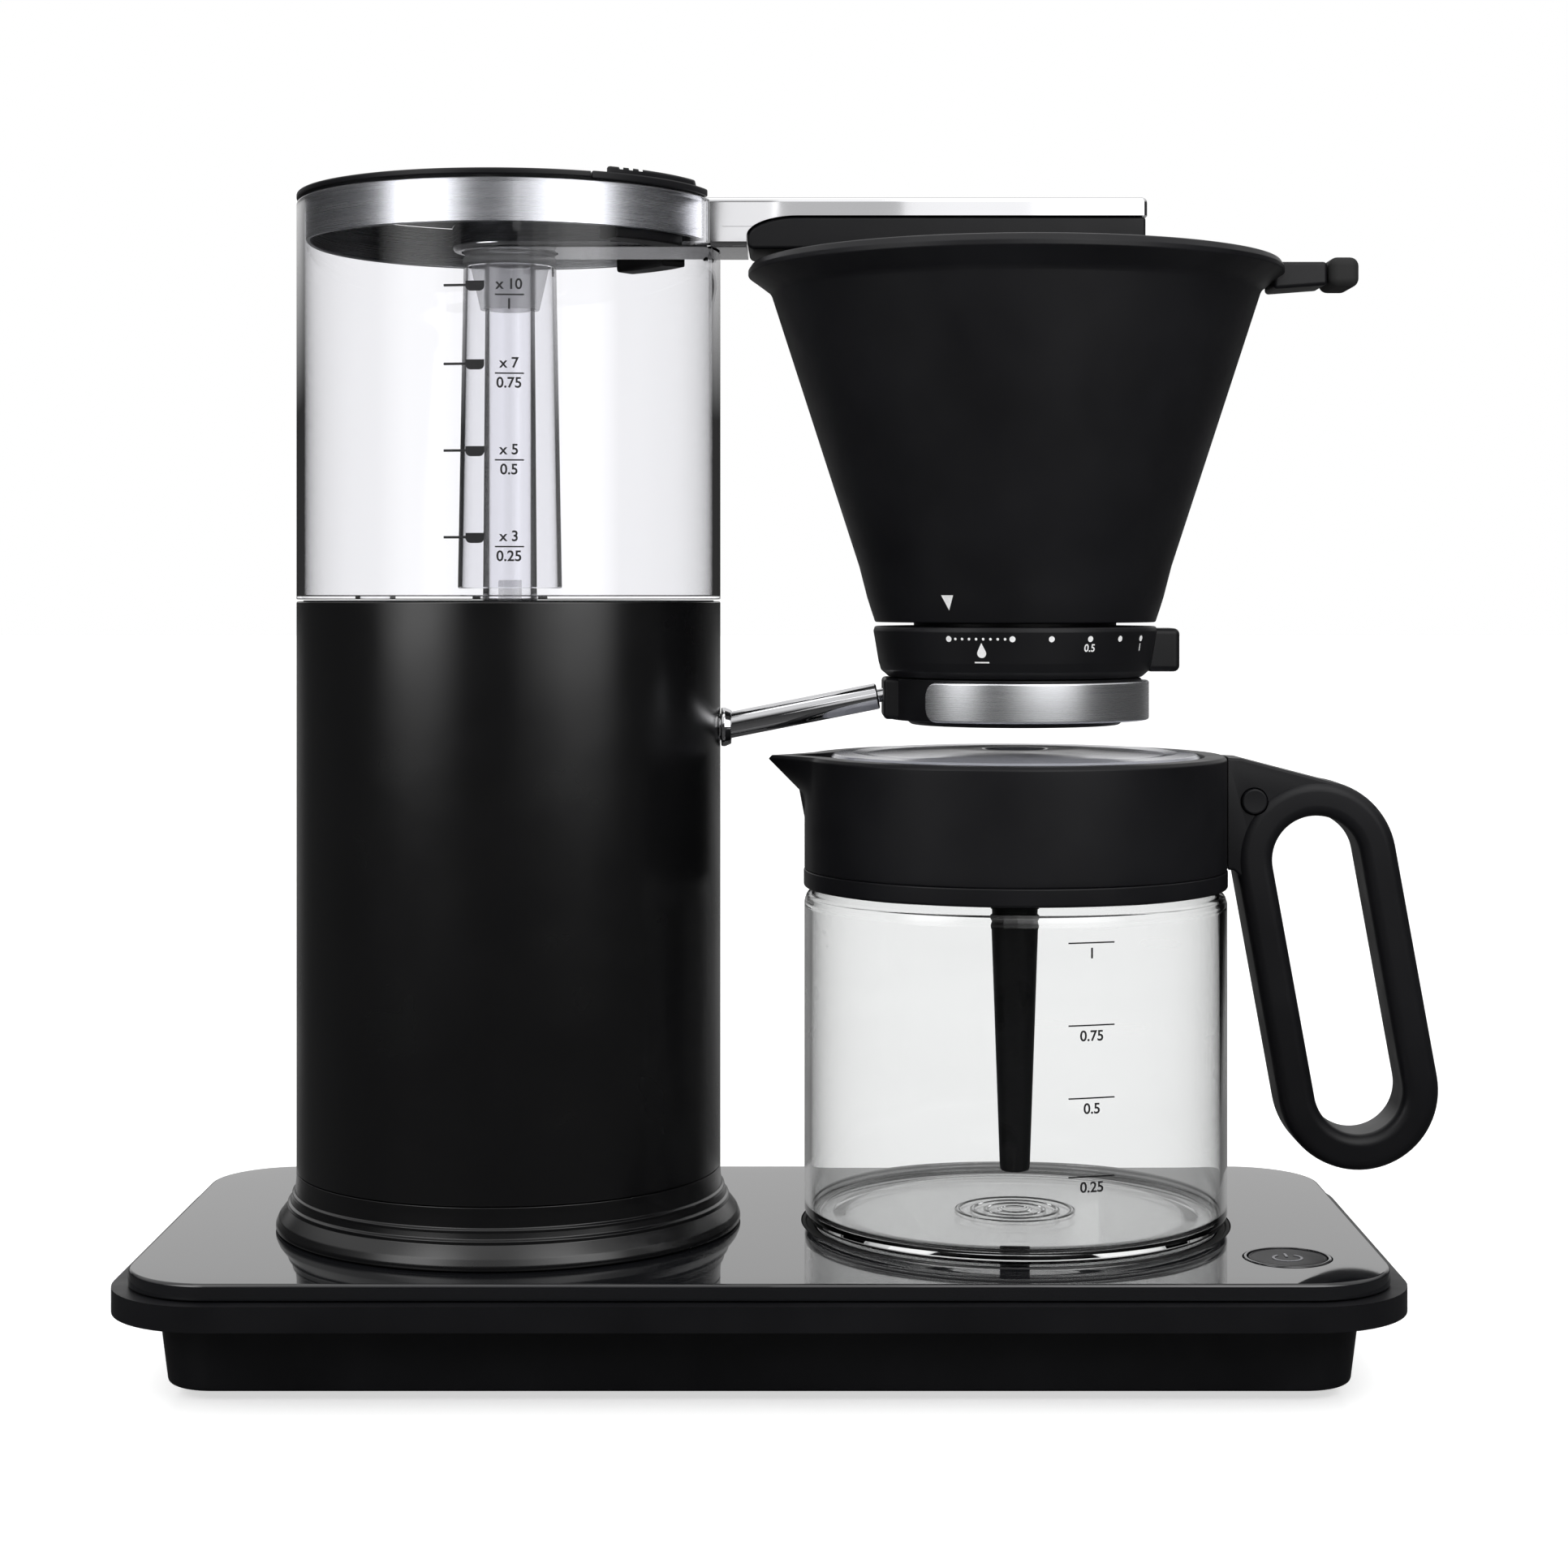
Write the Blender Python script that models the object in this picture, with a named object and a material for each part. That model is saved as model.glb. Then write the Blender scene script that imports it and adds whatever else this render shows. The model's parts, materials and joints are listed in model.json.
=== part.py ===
"""Drip coffee maker: a water tower with a clear tank, a turning funnel and a glass jug.

Metres, +Z up, front towards -Y. The origin is under the middle of the object's box, at floor level.
"""
import math

import bmesh
import bpy
from mathutils import Matrix, Vector

# Driving dimensions
GAP = 0.0003                    # clearance between pieces that touch
ROUND_STEPS = 32                # facets round a large turned piece
SMALL_STEPS = 14                # facets round a small one
AXIS_SPACING = 0.150            # from the tank's axis to the jug's
CYLINDER_R = 0.0625             # tower, tank and jug share this radius
LIP_LENGTH, LIP_WIDTH, LIP_R = 0.359, 0.170, 0.030
PLATE_LENGTH, PLATE_WIDTH, PLATE_R = 0.350, 0.161, 0.026
HOUSING_LENGTH, HOUSING_WIDTH = 0.333, 0.144

# The jug handle's loop, measured from the jug's axis: centres of its two round ends
LOOP_TOP_X, LOOP_TOP_Z = 0.0884, 0.1425
LOOP_LOW_X, LOOP_LOW_Z = 0.1007, 0.0747
LOOP_OUTER_R, LOOP_INNER_R = 0.0236, 0.0130

# The box runs from the base's left lip to the handle's right side
BASE_X = (LIP_LENGTH - AXIS_SPACING) / 4 - (LOOP_LOW_X + LOOP_OUTER_R) / 2
TANK_X = BASE_X - AXIS_SPACING / 2
JUG_X = BASE_X + AXIS_SPACING / 2

# Heights above the floor
HOUSING_Z, LIP_Z, LIP_TOP_Z, PLATE_TOP_Z = 0.003, 0.023, 0.030, 0.035
SKIRT_TOP_Z, TOWER_TOP_Z, TANK_TOP_Z = 0.0520, 0.2190, 0.3360
JUG_BOTTOM_Z, JUG_NECK_Z, JUG_TOP_Z = PLATE_TOP_Z + GAP, 0.1340, 0.1731
FOOT_TOP_Z = 0.0420              # where the glass's foot ends and its wall begins
HOLDER_Z, HOLDER_TOP_Z = 0.1839, 0.1962
DRIP_RING_Z, DRIP_RING_TOP_Z, FUNNEL_FLOOR_Z = 0.1965, 0.2114, 0.2126
ARM_Z, ARM_TOP_Z = 0.3220, 0.3366
COLLAR_Z, LID_Z, LID_TOP_Z = 0.3238, TANK_TOP_Z + GAP, 0.3386

# Holes and seats shared by two or more pieces
TOWER_HOLE_R, PLATE_RING_R = 0.050, 0.0635
BUTTON_X, BUTTON_Y, BUTTON_R = JUG_X + 0.0728, -0.0490, 0.0123
ARM_HALF_WIDTH = 0.0170
HINGE_X, HINGE_Z = TANK_X + 0.0315, 0.3386
BRACKET_X = 0.0283               # where the covers beside the arm begin, from the tank's axis
DRAIN_X = TANK_X - 0.030
GLAND_X, GLAND_Z = TANK_X, 0.0130
ROD_START = Vector((TANK_X + 0.0575, 0, 0.1804))
ROD_END = Vector((JUG_X - 0.0404, 0, 0.1907))
ROD_R = 0.0039
SCREW_Z, SCREW_X, SCREW_R = 0.1599, JUG_X + 0.0698, 0.0037


def remove_everything():
    for old in list(bpy.data.objects):
        bpy.data.objects.remove(old, do_unlink=True)


def look(name, colour, roughness, metallic=0.0, alpha=1.0):
    """One Principled material; a low alpha stands for clear plastic or glass."""
    material = bpy.data.materials.new(name)
    material.use_nodes = True
    shader = material.node_tree.nodes["Principled BSDF"]
    shader.inputs["Base Color"].default_value = (*colour, 1.0)
    shader.inputs["Roughness"].default_value = roughness
    shader.inputs["Metallic"].default_value = metallic
    shader.inputs["Alpha"].default_value = alpha
    material.diffuse_color = (*colour, alpha)
    return material


def solid(name, shape, material, origin=(0.0, 0.0, 0.0)):
    """Turn a bmesh into a named object whose own origin lies at the given point."""
    bmesh.ops.recalc_face_normals(shape, faces=shape.faces)
    mesh = bpy.data.meshes.new(name)
    shape.to_mesh(mesh)
    shape.free()
    mesh.transform(Matrix.Translation(-Vector(origin)))
    mesh.materials.append(material)
    mesh.shade_smooth()
    mesh.set_sharp_from_angle(angle=math.radians(35))
    thing = bpy.data.objects.new(name, mesh)
    thing.location = origin
    bpy.context.collection.objects.link(thing)
    return thing


def turned(name, outline, material, at=(0.0, 0.0), sweep=math.tau, start=0.0, steps=ROUND_STEPS):
    """Turn a closed outline of (radius, height) points about the vertical through `at`.

    An outline that starts and ends at radius 0 is a solid round piece; any other is a ring.
    """
    shape = bmesh.new()
    whole = math.isclose(sweep, math.tau)
    count = steps if whole else steps + 1
    angles = [start + sweep * step / steps for step in range(count)]
    rings = []
    for radius, height in outline:
        if radius == 0:
            rings.append([shape.verts.new((at[0], at[1], height))] * count)
            continue
        rings.append([shape.verts.new((at[0] + radius * math.cos(angle),
                                       at[1] + radius * math.sin(angle), height))
                      for angle in angles])
    for lower, upper in zip(rings, rings[1:] + rings[:1]):
        for step in range(steps):
            following = (step + 1) % count
            corners = dict.fromkeys((lower[step], lower[following], upper[following], upper[step]))
            if len(corners) > 2:
                shape.faces.new(list(corners))
    if not whole:
        shape.faces.new([ring[0] for ring in rings])
        shape.faces.new([ring[-1] for ring in rings])
    return solid(name, shape, material, (at[0], at[1], 0.0))


def loft(name, sections, material):
    """Join outlines of equal point count, first to last, and cap both ends."""
    shape = bmesh.new()
    rings = [[shape.verts.new(point) for point in section] for section in sections]
    for lower, upper in zip(rings, rings[1:]):
        for index in range(len(lower)):
            following = (index + 1) % len(lower)
            shape.faces.new((lower[index], lower[following], upper[following], upper[index]))
    shape.faces.new(rings[0])
    shape.faces.new(rings[-1])
    return solid(name, shape, material)


def block(name, low, high, material, bevel=0.0):
    """A box between two corners, with rounded edges where a bevel is given."""
    sections = [[(low[0], low[1], height), (high[0], low[1], height),
                 (high[0], high[1], height), (low[0], high[1], height)]
                for height in (low[2], high[2])]
    thing = loft(name, sections, material)
    if bevel:
        soften(thing, bevel)
    return thing


def side_prism(name, outline, half_width, material):
    """Extrude an (x, z) outline across the part, to both sides of its middle plane."""
    return loft(name, [[(x, side * half_width, z) for x, z in outline] for side in (-1, 1)], material)


def rounded_rectangle(length, width, radius, height, corner_steps=6):
    """Points of a rectangle with round corners, centred on the base."""
    points = []
    for corner in range(4):
        sign_x = 1 if corner in (0, 3) else -1
        sign_y = 1 if corner in (0, 1) else -1
        centre_x = BASE_X + sign_x * (length / 2 - radius)
        centre_y = sign_y * (width / 2 - radius)
        for step in range(corner_steps + 1):
            angle = math.radians(90) * (corner + step / corner_steps)
            points.append((centre_x + radius * math.cos(angle), centre_y + radius * math.sin(angle), height))
    return points


def arc(centre_x, centre_z, radius, from_degrees, to_degrees, steps):
    """Points (x, z) along an arc, both ends included."""
    angles = [math.radians(from_degrees + (to_degrees - from_degrees) * step / steps)
              for step in range(steps + 1)]
    return [(centre_x + radius * math.cos(angle), centre_z + radius * math.sin(angle)) for angle in angles]


def soften(thing, width, segments=2):
    bevel = thing.modifiers.new("rounded edges", "BEVEL")
    bevel.width = width
    bevel.segments = segments
    bevel.limit_method = "ANGLE"
    bevel.angle_limit = math.radians(40)


def combine(thing, tool, operation):
    boolean = thing.modifiers.new(tool.name, "BOOLEAN")
    boolean.operation = operation
    boolean.object = tool
    tool.hide_render = True
    tool.display_type = "WIRE"


def cut(thing, *tools):
    for tool in tools:
        combine(thing, tool, "DIFFERENCE")


def fuse(thing, *tools):
    for tool in tools:
        combine(thing, tool, "UNION")


def round_tool(name, at, radius, low, high, steps=SMALL_STEPS):
    """An upright cylinder used for cutting."""
    outline = [(0, low), (radius, low), (radius, high), (0, high)]
    return turned(name, outline, None, at, steps=steps)


def rod(name, start, end, outline, material, steps=SMALL_STEPS):
    """Turn an outline of (radius, distance from start) about the line from start to end."""
    thing = turned(name, outline, material, steps=steps)
    direction = (Vector(end) - Vector(start)).normalized()
    turn = Vector((0, 0, 1)).rotation_difference(direction).to_matrix().to_4x4()
    thing.data.transform(Matrix.Translation(start) @ turn)
    return thing


def hose(name, route, radius, material):
    """A flexible tube along a smooth curve through the route's points."""
    curve = bpy.data.curves.new(name, "CURVE")
    curve.dimensions = "3D"
    spline = curve.splines.new("POLY")
    points = smooth_route(route, 4)
    spline.points.add(len(points) - 1)
    for place, point in zip(spline.points, points):
        place.co = (*point, 1.0)
    curve.bevel_depth = radius
    curve.bevel_resolution = 2
    curve.use_fill_caps = True
    curve.materials.append(material)
    thing = bpy.data.objects.new(name, curve)
    bpy.context.collection.objects.link(thing)
    return thing


def smooth_route(route, steps):
    """Points of a Catmull-Rom curve through the route."""
    knots = [Vector(point) for point in route]
    knots = [2 * knots[0] - knots[1]] + knots + [2 * knots[-1] - knots[-2]]
    points = []
    for before, first, second, after in zip(knots, knots[1:], knots[2:], knots[3:]):
        for step in range(steps):
            t = step / steps
            points.append(0.5 * (2 * first + (second - before) * t
                                 + (2 * before - 5 * first + 4 * second - after) * t ** 2
                                 + (3 * first - before - 3 * second + after) * t ** 3))
    points.append(knots[-2])
    return points


def set_origin(thing, origin):
    """Move an object's own origin without moving its shape."""
    thing.data.transform(Matrix.Translation(thing.location - Vector(origin)))
    thing.location = origin


# Base

def base_housing(looks):
    """Tray with tapered sides, a wide rounded lip and a ceiling that carries the top plate."""
    sections = [
        rounded_rectangle(HOUSING_LENGTH - 0.005, HOUSING_WIDTH - 0.005, 0.018, HOUSING_Z),
        rounded_rectangle(HOUSING_LENGTH, HOUSING_WIDTH, 0.020, LIP_Z),
        rounded_rectangle(LIP_LENGTH - 0.006, LIP_WIDTH - 0.006, LIP_R - 0.003, LIP_Z + 0.0001),
        rounded_rectangle(LIP_LENGTH, LIP_WIDTH, LIP_R, LIP_Z + 0.0018),
        rounded_rectangle(LIP_LENGTH, LIP_WIDTH, LIP_R, LIP_TOP_Z - 0.0020),
        rounded_rectangle(LIP_LENGTH - 0.003, LIP_WIDTH - 0.003, LIP_R - 0.0015, LIP_TOP_Z),
    ]
    housing = loft("base_housing", sections, looks["black plastic"])
    wall = 0.003
    hollow = loft("hollow of housing", [
        rounded_rectangle(HOUSING_LENGTH - 0.005 - 2 * wall, HOUSING_WIDTH - 0.005 - 2 * wall, 0.015, 0.0),
        rounded_rectangle(HOUSING_LENGTH - 2 * wall, HOUSING_WIDTH - 2 * wall, 0.017, LIP_TOP_Z - 0.0025),
    ], None)
    tools = [
        hollow,
        round_tool("tower opening", (TANK_X, 0), TOWER_HOLE_R, 0.02, 0.04, ROUND_STEPS),
        round_tool("plate opening", (JUG_X, 0), 0.0565, 0.02, 0.04, ROUND_STEPS),
        round_tool("button opening", (BUTTON_X, BUTTON_Y), BUTTON_R + GAP, 0.02, 0.04, 24),
        rod("gland opening", (GLAND_X, 0.06, GLAND_Z), (GLAND_X, 0.08, GLAND_Z),
            [(0, 0), (0.0058, 0), (0.0058, 0.02), (0, 0.02)], None),
    ]
    cut(housing, *tools)


def base_bottom_cover(looks):
    wall_and_gap = 0.0034
    cover = loft("base_bottom_cover", [
        rounded_rectangle(HOUSING_LENGTH - 0.005 - 2 * wall_and_gap, HOUSING_WIDTH - 0.005 - 2 * wall_and_gap,
                          0.0145, height) for height in (HOUSING_Z, HOUSING_Z + 0.002)
    ], looks["black plastic"])
    for side in (-1, 1):
        cut(cover, round_tool(f"screw hole {side}", (BASE_X + side * 0.070, 0), 0.0018, 0.0, 0.01))


def base_fasteners(looks):
    """Four rubber feet under the cover's corners and two screws along its middle."""
    for side, side_name in ((-1, "left"), (1, "right")):
        for depth, depth_name in ((-1, "front"), (1, "rear")):
            outline = [(0, 0), (0.0080, 0), (0.0090, 0.0008), (0.0090, HOUSING_Z - GAP),
                       (0, HOUSING_Z - GAP)]
            turned(f"foot_{depth_name}_{side_name}", outline, looks["rubber"],
                   (BASE_X + side * 0.140, depth * 0.048), steps=SMALL_STEPS)
        outline = [(0, 0.0012), (0.0030, 0.0012), (0.0030, 0.0027), (0.0015, 0.0027), (0.0015, 0.0100),
                   (0, 0.0100)]
        turned(f"cover_screw_{side_name}", outline, looks["steel"], (BASE_X + side * 0.070, 0),
               steps=SMALL_STEPS)


def base_top_plate(looks):
    sections = [
        rounded_rectangle(PLATE_LENGTH, PLATE_WIDTH, PLATE_R, LIP_TOP_Z + GAP),
        rounded_rectangle(PLATE_LENGTH, PLATE_WIDTH, PLATE_R, PLATE_TOP_Z - 0.0008),
        rounded_rectangle(PLATE_LENGTH - 0.0016, PLATE_WIDTH - 0.0016, PLATE_R - 0.0008, PLATE_TOP_Z),
    ]
    plate = loft("base_top_plate", sections, looks["gloss black"])
    cut(plate,
        round_tool("tower hole", (TANK_X, 0), TOWER_HOLE_R, 0.02, 0.04, ROUND_STEPS),
        round_tool("plate ring hole", (JUG_X, 0), PLATE_RING_R, 0.02, 0.04, ROUND_STEPS),
        round_tool("button hole", (BUTTON_X, BUTTON_Y), BUTTON_R + GAP, 0.02, 0.04, 24))


def hot_plate(looks):
    """Heated disc in a stepped gasket, with the heater tube and thermostat under it."""
    at = (JUG_X, 0)
    disc_r, ledge_r = 0.0595, 0.0570
    disc_z = LIP_TOP_Z + 0.0020
    turned("hot_plate", [(0, disc_z), (disc_r, disc_z), (disc_r, PLATE_TOP_Z - 0.0004),
                         (disc_r - 0.0005, PLATE_TOP_Z - GAP), (0, PLATE_TOP_Z - GAP)],
           looks["gloss black"], at)
    turned("hot_plate_gasket", [
        (ledge_r, LIP_TOP_Z + GAP), (PLATE_RING_R - GAP, LIP_TOP_Z + GAP), (PLATE_RING_R - GAP, PLATE_TOP_Z),
        (disc_r + GAP, PLATE_TOP_Z), (disc_r + GAP, disc_z - GAP), (ledge_r, disc_z - GAP),
    ], looks["rubber"], at)
    tube_r, ring_r = 0.0040, 0.0400
    tube_z = disc_z - GAP - tube_r
    section = arc(ring_r, tube_z, tube_r, 0, 315, 7)
    turned("hot_plate_heater", section, looks["aluminium"], at, math.radians(320), math.radians(110),
           steps=20)
    turned("plate_thermostat", [(0, 0.0220), (0.0070, 0.0220), (0.0070, 0.0290), (0.0090, 0.0290),
                                (0.0090, disc_z - GAP), (0, disc_z - GAP)], looks["steel"], at,
           steps=SMALL_STEPS)


def cord_gland(looks):
    """Bush through the housing's rear wall, open along its middle."""
    inner_face, flange_face = 0.0655, 0.0724
    wall = flange_face - inner_face
    outline = [(0.0032, 0), (0.0055, 0), (0.0055, wall), (0.0085, wall), (0.0085, 0.0092), (0.0060, 0.0092),
               (0.0050, 0.0180), (0.0032, 0.0180)]
    rod("cord_gland", (GLAND_X, inner_face, GLAND_Z), (GLAND_X, inner_face + 1, GLAND_Z), outline,
        looks["rubber"])


def power_switch(looks):
    """Button in a cup-shaped bezel, its spring, and the board with the switch it presses."""
    at = (BUTTON_X, BUTTON_Y)
    cap_r, bore_r, floor_z = 0.0110, 0.0113, 0.0250
    turned("button_bezel", [
        (0.0030, floor_z - 0.002), (BUTTON_R, floor_z - 0.002), (BUTTON_R, PLATE_TOP_Z + 0.0003),
        (bore_r, PLATE_TOP_Z + 0.0003), (bore_r, floor_z), (0.0030, floor_z),
    ], looks["gloss black"], at, steps=24)
    turned("power_button", [
        (0, 0.0227), (0.0025, 0.0227), (0.0025, 0.0317), (cap_r, 0.0317), (cap_r, PLATE_TOP_Z - 0.0003),
        (cap_r - 0.0006, PLATE_TOP_Z + 0.0002), (0, PLATE_TOP_Z + 0.0002),
    ], looks["black plastic"], at, steps=24)
    turned("button_spring", [(0.0045, floor_z + GAP), (0.0060, floor_z + GAP), (0.0060, 0.0314),
                             (0.0045, 0.0314)], looks["steel"], at, steps=SMALL_STEPS)
    board = block("switch_board", (BUTTON_X - 0.020, BUTTON_Y - 0.012, 0.0110),
                  (BUTTON_X + 0.010, BUTTON_Y + 0.014, 0.0126), looks["circuit board"])
    fuse(board, block("switch body", (BUTTON_X - 0.006, BUTTON_Y - 0.003, 0.0120),
                      (BUTTON_X + 0.006, BUTTON_Y + 0.003, 0.0203), None))


# Tower

def tower_shells(looks):
    """Painted cylinder with a hole for the rod, on a flared skirt, with a plate inside its top."""
    at = (TANK_X, 0)
    turned("tower_skirt", [
        (0.0600, PLATE_TOP_Z + GAP), (0.0685, PLATE_TOP_Z + GAP), (0.0683, 0.0375), (0.0672, 0.0398),
        (0.0648, 0.0424), (0.0638, 0.0446), (0.0630, 0.0480), (CYLINDER_R, SKIRT_TOP_Z - GAP),
        (0.0600, SKIRT_TOP_Z - GAP),
    ], looks["painted metal"], at)
    shell = turned("tower_shell", [(0.0610, SKIRT_TOP_Z), (CYLINDER_R, SKIRT_TOP_Z),
                                   (CYLINDER_R, TOWER_TOP_Z - GAP), (0.0610, TOWER_TOP_Z - GAP)],
                   looks["painted metal"], at)
    cut(shell, rod("rod hole", ROD_START, ROD_END,
                   [(0, 0), (ROD_R + GAP, 0), (ROD_R + GAP, 0.012), (0, 0.012)], None))
    plate = turned("tower_top_plate", [(0.0045, 0.2127), (0.0607, 0.2127), (0.0607, 0.2157),
                                       (0.0045, 0.2157)], looks["black plastic"], at)
    cut(plate, round_tool("drain in plate", (DRAIN_X, 0), 0.0045, 0.20, 0.23))


def boiler(looks):
    """Cast flow heater on a cross bracket, with its thermostat and thermal fuse."""
    at = (TANK_X, 0)
    low, high = 0.1000, 0.1260
    turned("boiler", [(0.0310, low), (0.0450, low), (0.0470, low + 0.003), (0.0470, high - 0.003),
                      (0.0450, high), (0.0310, high), (0.0290, high - 0.003), (0.0290, low + 0.003)],
           looks["aluminium"], at, math.radians(290), math.radians(-145), steps=18)
    bracket = block("boiler_bracket", (TANK_X - 0.0160, -0.0575, 0.0955),
                    (TANK_X + 0.0160, 0.0575, low - GAP), looks["steel"], bevel=0.0008)
    cut(bracket, round_tool("bracket middle", at, 0.0120, 0.09, 0.11))
    turned("boiler_thermostat", [(0, high + GAP), (0.0070, high + GAP), (0.0070, high + 0.005),
                                 (0.0040, high + 0.005), (0.0040, high + 0.011), (0, high + 0.011)],
           looks["steel"], (TANK_X, 0.0380), steps=SMALL_STEPS)
    rod("thermal_fuse", (TANK_X + 0.020, -0.0380, high + 0.0035), (TANK_X - 0.020, -0.0380, high + 0.0035),
        [(0, 0.010), (0.0030, 0.012), (0.0030, 0.026), (0, 0.028)], looks["steel"])


def plumbing(looks):
    """Check valve under the tank's drain, and hoses through the boiler to the riser."""
    at = (DRAIN_X, 0)
    turned("check_valve_body", [
        (0.0030, 0.1950), (0.0060, 0.1950), (0.0080, 0.1980), (0.0080, 0.2124), (0.0030, 0.2124),
        (0.0030, 0.2100), (0.0055, 0.2100), (0.0055, 0.1980), (0.0030, 0.1980),
    ], looks["clear plastic"], at, steps=SMALL_STEPS)
    ball_r, centre_z = 0.0042, 0.2013
    half_circle = [(ball_r * math.sin(math.pi * step / 10), centre_z - ball_r * math.cos(math.pi * step / 10))
                   for step in range(1, 10)]
    turned("check_valve_ball", [(0, centre_z - ball_r), *half_circle, (0, centre_z + ball_r)],
           looks["steel"], at, steps=16)
    boiler_angle = math.radians(150)
    inlet = (TANK_X + 0.038 * math.cos(boiler_angle), 0.038 * math.sin(boiler_angle))
    outlet = (inlet[0], -inlet[1])
    hose("inlet_hose", [(DRAIN_X, 0, 0.1945), (DRAIN_X, 0, 0.1800), (DRAIN_X + 0.001, 0.006, 0.1620),
                        (inlet[0] - 0.002, inlet[1] - 0.004, 0.1420),
                        (inlet[0] - 0.003, inlet[1] - 0.003, 0.1270),
                        (inlet[0] - 0.004, inlet[1] - 0.006, 0.1130)],
         0.0035, looks["silicone"])
    hose("outlet_hose", [(outlet[0] - 0.004, outlet[1] + 0.006, 0.1130),
                         (outlet[0] - 0.003, outlet[1] + 0.003, 0.1270),
                         (outlet[0] + 0.004, outlet[1] + 0.003, 0.1450), (TANK_X - 0.012, -0.008, 0.1700),
                         (TANK_X - 0.002, -0.001, 0.1900), (TANK_X, 0, 0.2050), (TANK_X, 0, 0.2250)],
         0.0035, looks["silicone"])


# Tank

def water_tank(looks):
    """Clear cylinder with a floor, on its seal, with a notch in the rim that the arm drops into."""
    at = (TANK_X, 0)
    low = TOWER_TOP_Z + GAP
    tank = turned("water_tank", [
        (0.0084, low), (CYLINDER_R, low), (CYLINDER_R, TANK_TOP_Z), (0.0602, TANK_TOP_Z),
        (0.0602, low + 0.003), (0.0084, low + 0.003),
    ], looks["clear plastic"], at)
    notch = ARM_HALF_WIDTH + 0.0005
    cut(tank,
        block("rim notch", (TANK_X + 0.040, -notch, ARM_Z - 0.0005), (TANK_X + 0.080, notch, 0.36), None),
        round_tool("drain in tank", (DRAIN_X, 0), 0.0045, 0.20, 0.23))
    seal = turned("tank_seal", [(0.0088, 0.2160), (0.0605, 0.2160), (0.0605, TOWER_TOP_Z),
                                (0.0088, TOWER_TOP_Z)], looks["rubber"], at)
    cut(seal, round_tool("drain in seal", (DRAIN_X, 0), 0.0045, 0.20, 0.23))


def riser(looks):
    """Two upright tubes in the tank, and the cap on them that plugs into the arm."""
    at = (TANK_X, 0)
    floor_z = TOWER_TOP_Z + GAP + 0.003
    turned("riser_outer_tube", [(0.0142, floor_z + GAP), (0.0154, floor_z + GAP), (0.0137, 0.3178),
                                (0.0125, 0.3178)], looks["clear plastic"], at, steps=24)
    turned("riser_inner_tube", [(0.0062, 0.2160), (0.0080, 0.2160), (0.0072, 0.3230), (0.0062, 0.3230)],
           looks["clear plastic"], at, steps=24)
    turned("riser_cap", [(0.0077, 0.3050), (0.0089, 0.3050), (0.0099, 0.3181), (0.0139, 0.3181),
                         (0.0139, 0.3250), (0.0077, 0.3250)], looks["silicone"], at, steps=24)


def arm_brackets(looks):
    """Two covers over the rim beside the arm, each with a leg that clamps the collar from inside."""
    low, high = TANK_TOP_Z + GAP, 0.3409
    outer_r, inner_y = 0.0620, ARM_HALF_WIDTH + 0.0006
    wide, narrow = math.acos(BRACKET_X / outer_r), math.asin(inner_y / outer_r)
    for side, side_name in ((-1, "front"), (1, "rear")):
        outline = [(TANK_X + BRACKET_X, side * inner_y)]
        for step in range(9):
            angle = wide + (narrow - wide) * step / 8
            outline.append((TANK_X + outer_r * math.cos(angle), side * outer_r * math.sin(angle)))
        bracket = loft(f"arm_bracket_{side_name}", [[(x, y, z) for x, y in outline] for z in (low, high)],
                       looks["black plastic"])
        soften(bracket, 0.0008, 1)
        span = math.radians(26)
        start = math.radians(28) if side > 0 else -math.radians(28) - span
        leg = turned(f"leg {side_name}", [(0.0500, 0.3210), (0.0583, 0.3210), (0.0583, low + 0.001),
                                          (0.0500, low + 0.001)], None, (TANK_X, 0), span, start, steps=6)
        fuse(bracket, leg)
        cut(bracket, rod(f"pin socket {side_name}", (HINGE_X, -0.0262, HINGE_Z), (HINGE_X, 0.0262, HINGE_Z),
                         [(0, 0), (0.0013, 0), (0.0013, 0.0524), (0, 0.0524)], None, steps=12))


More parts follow.
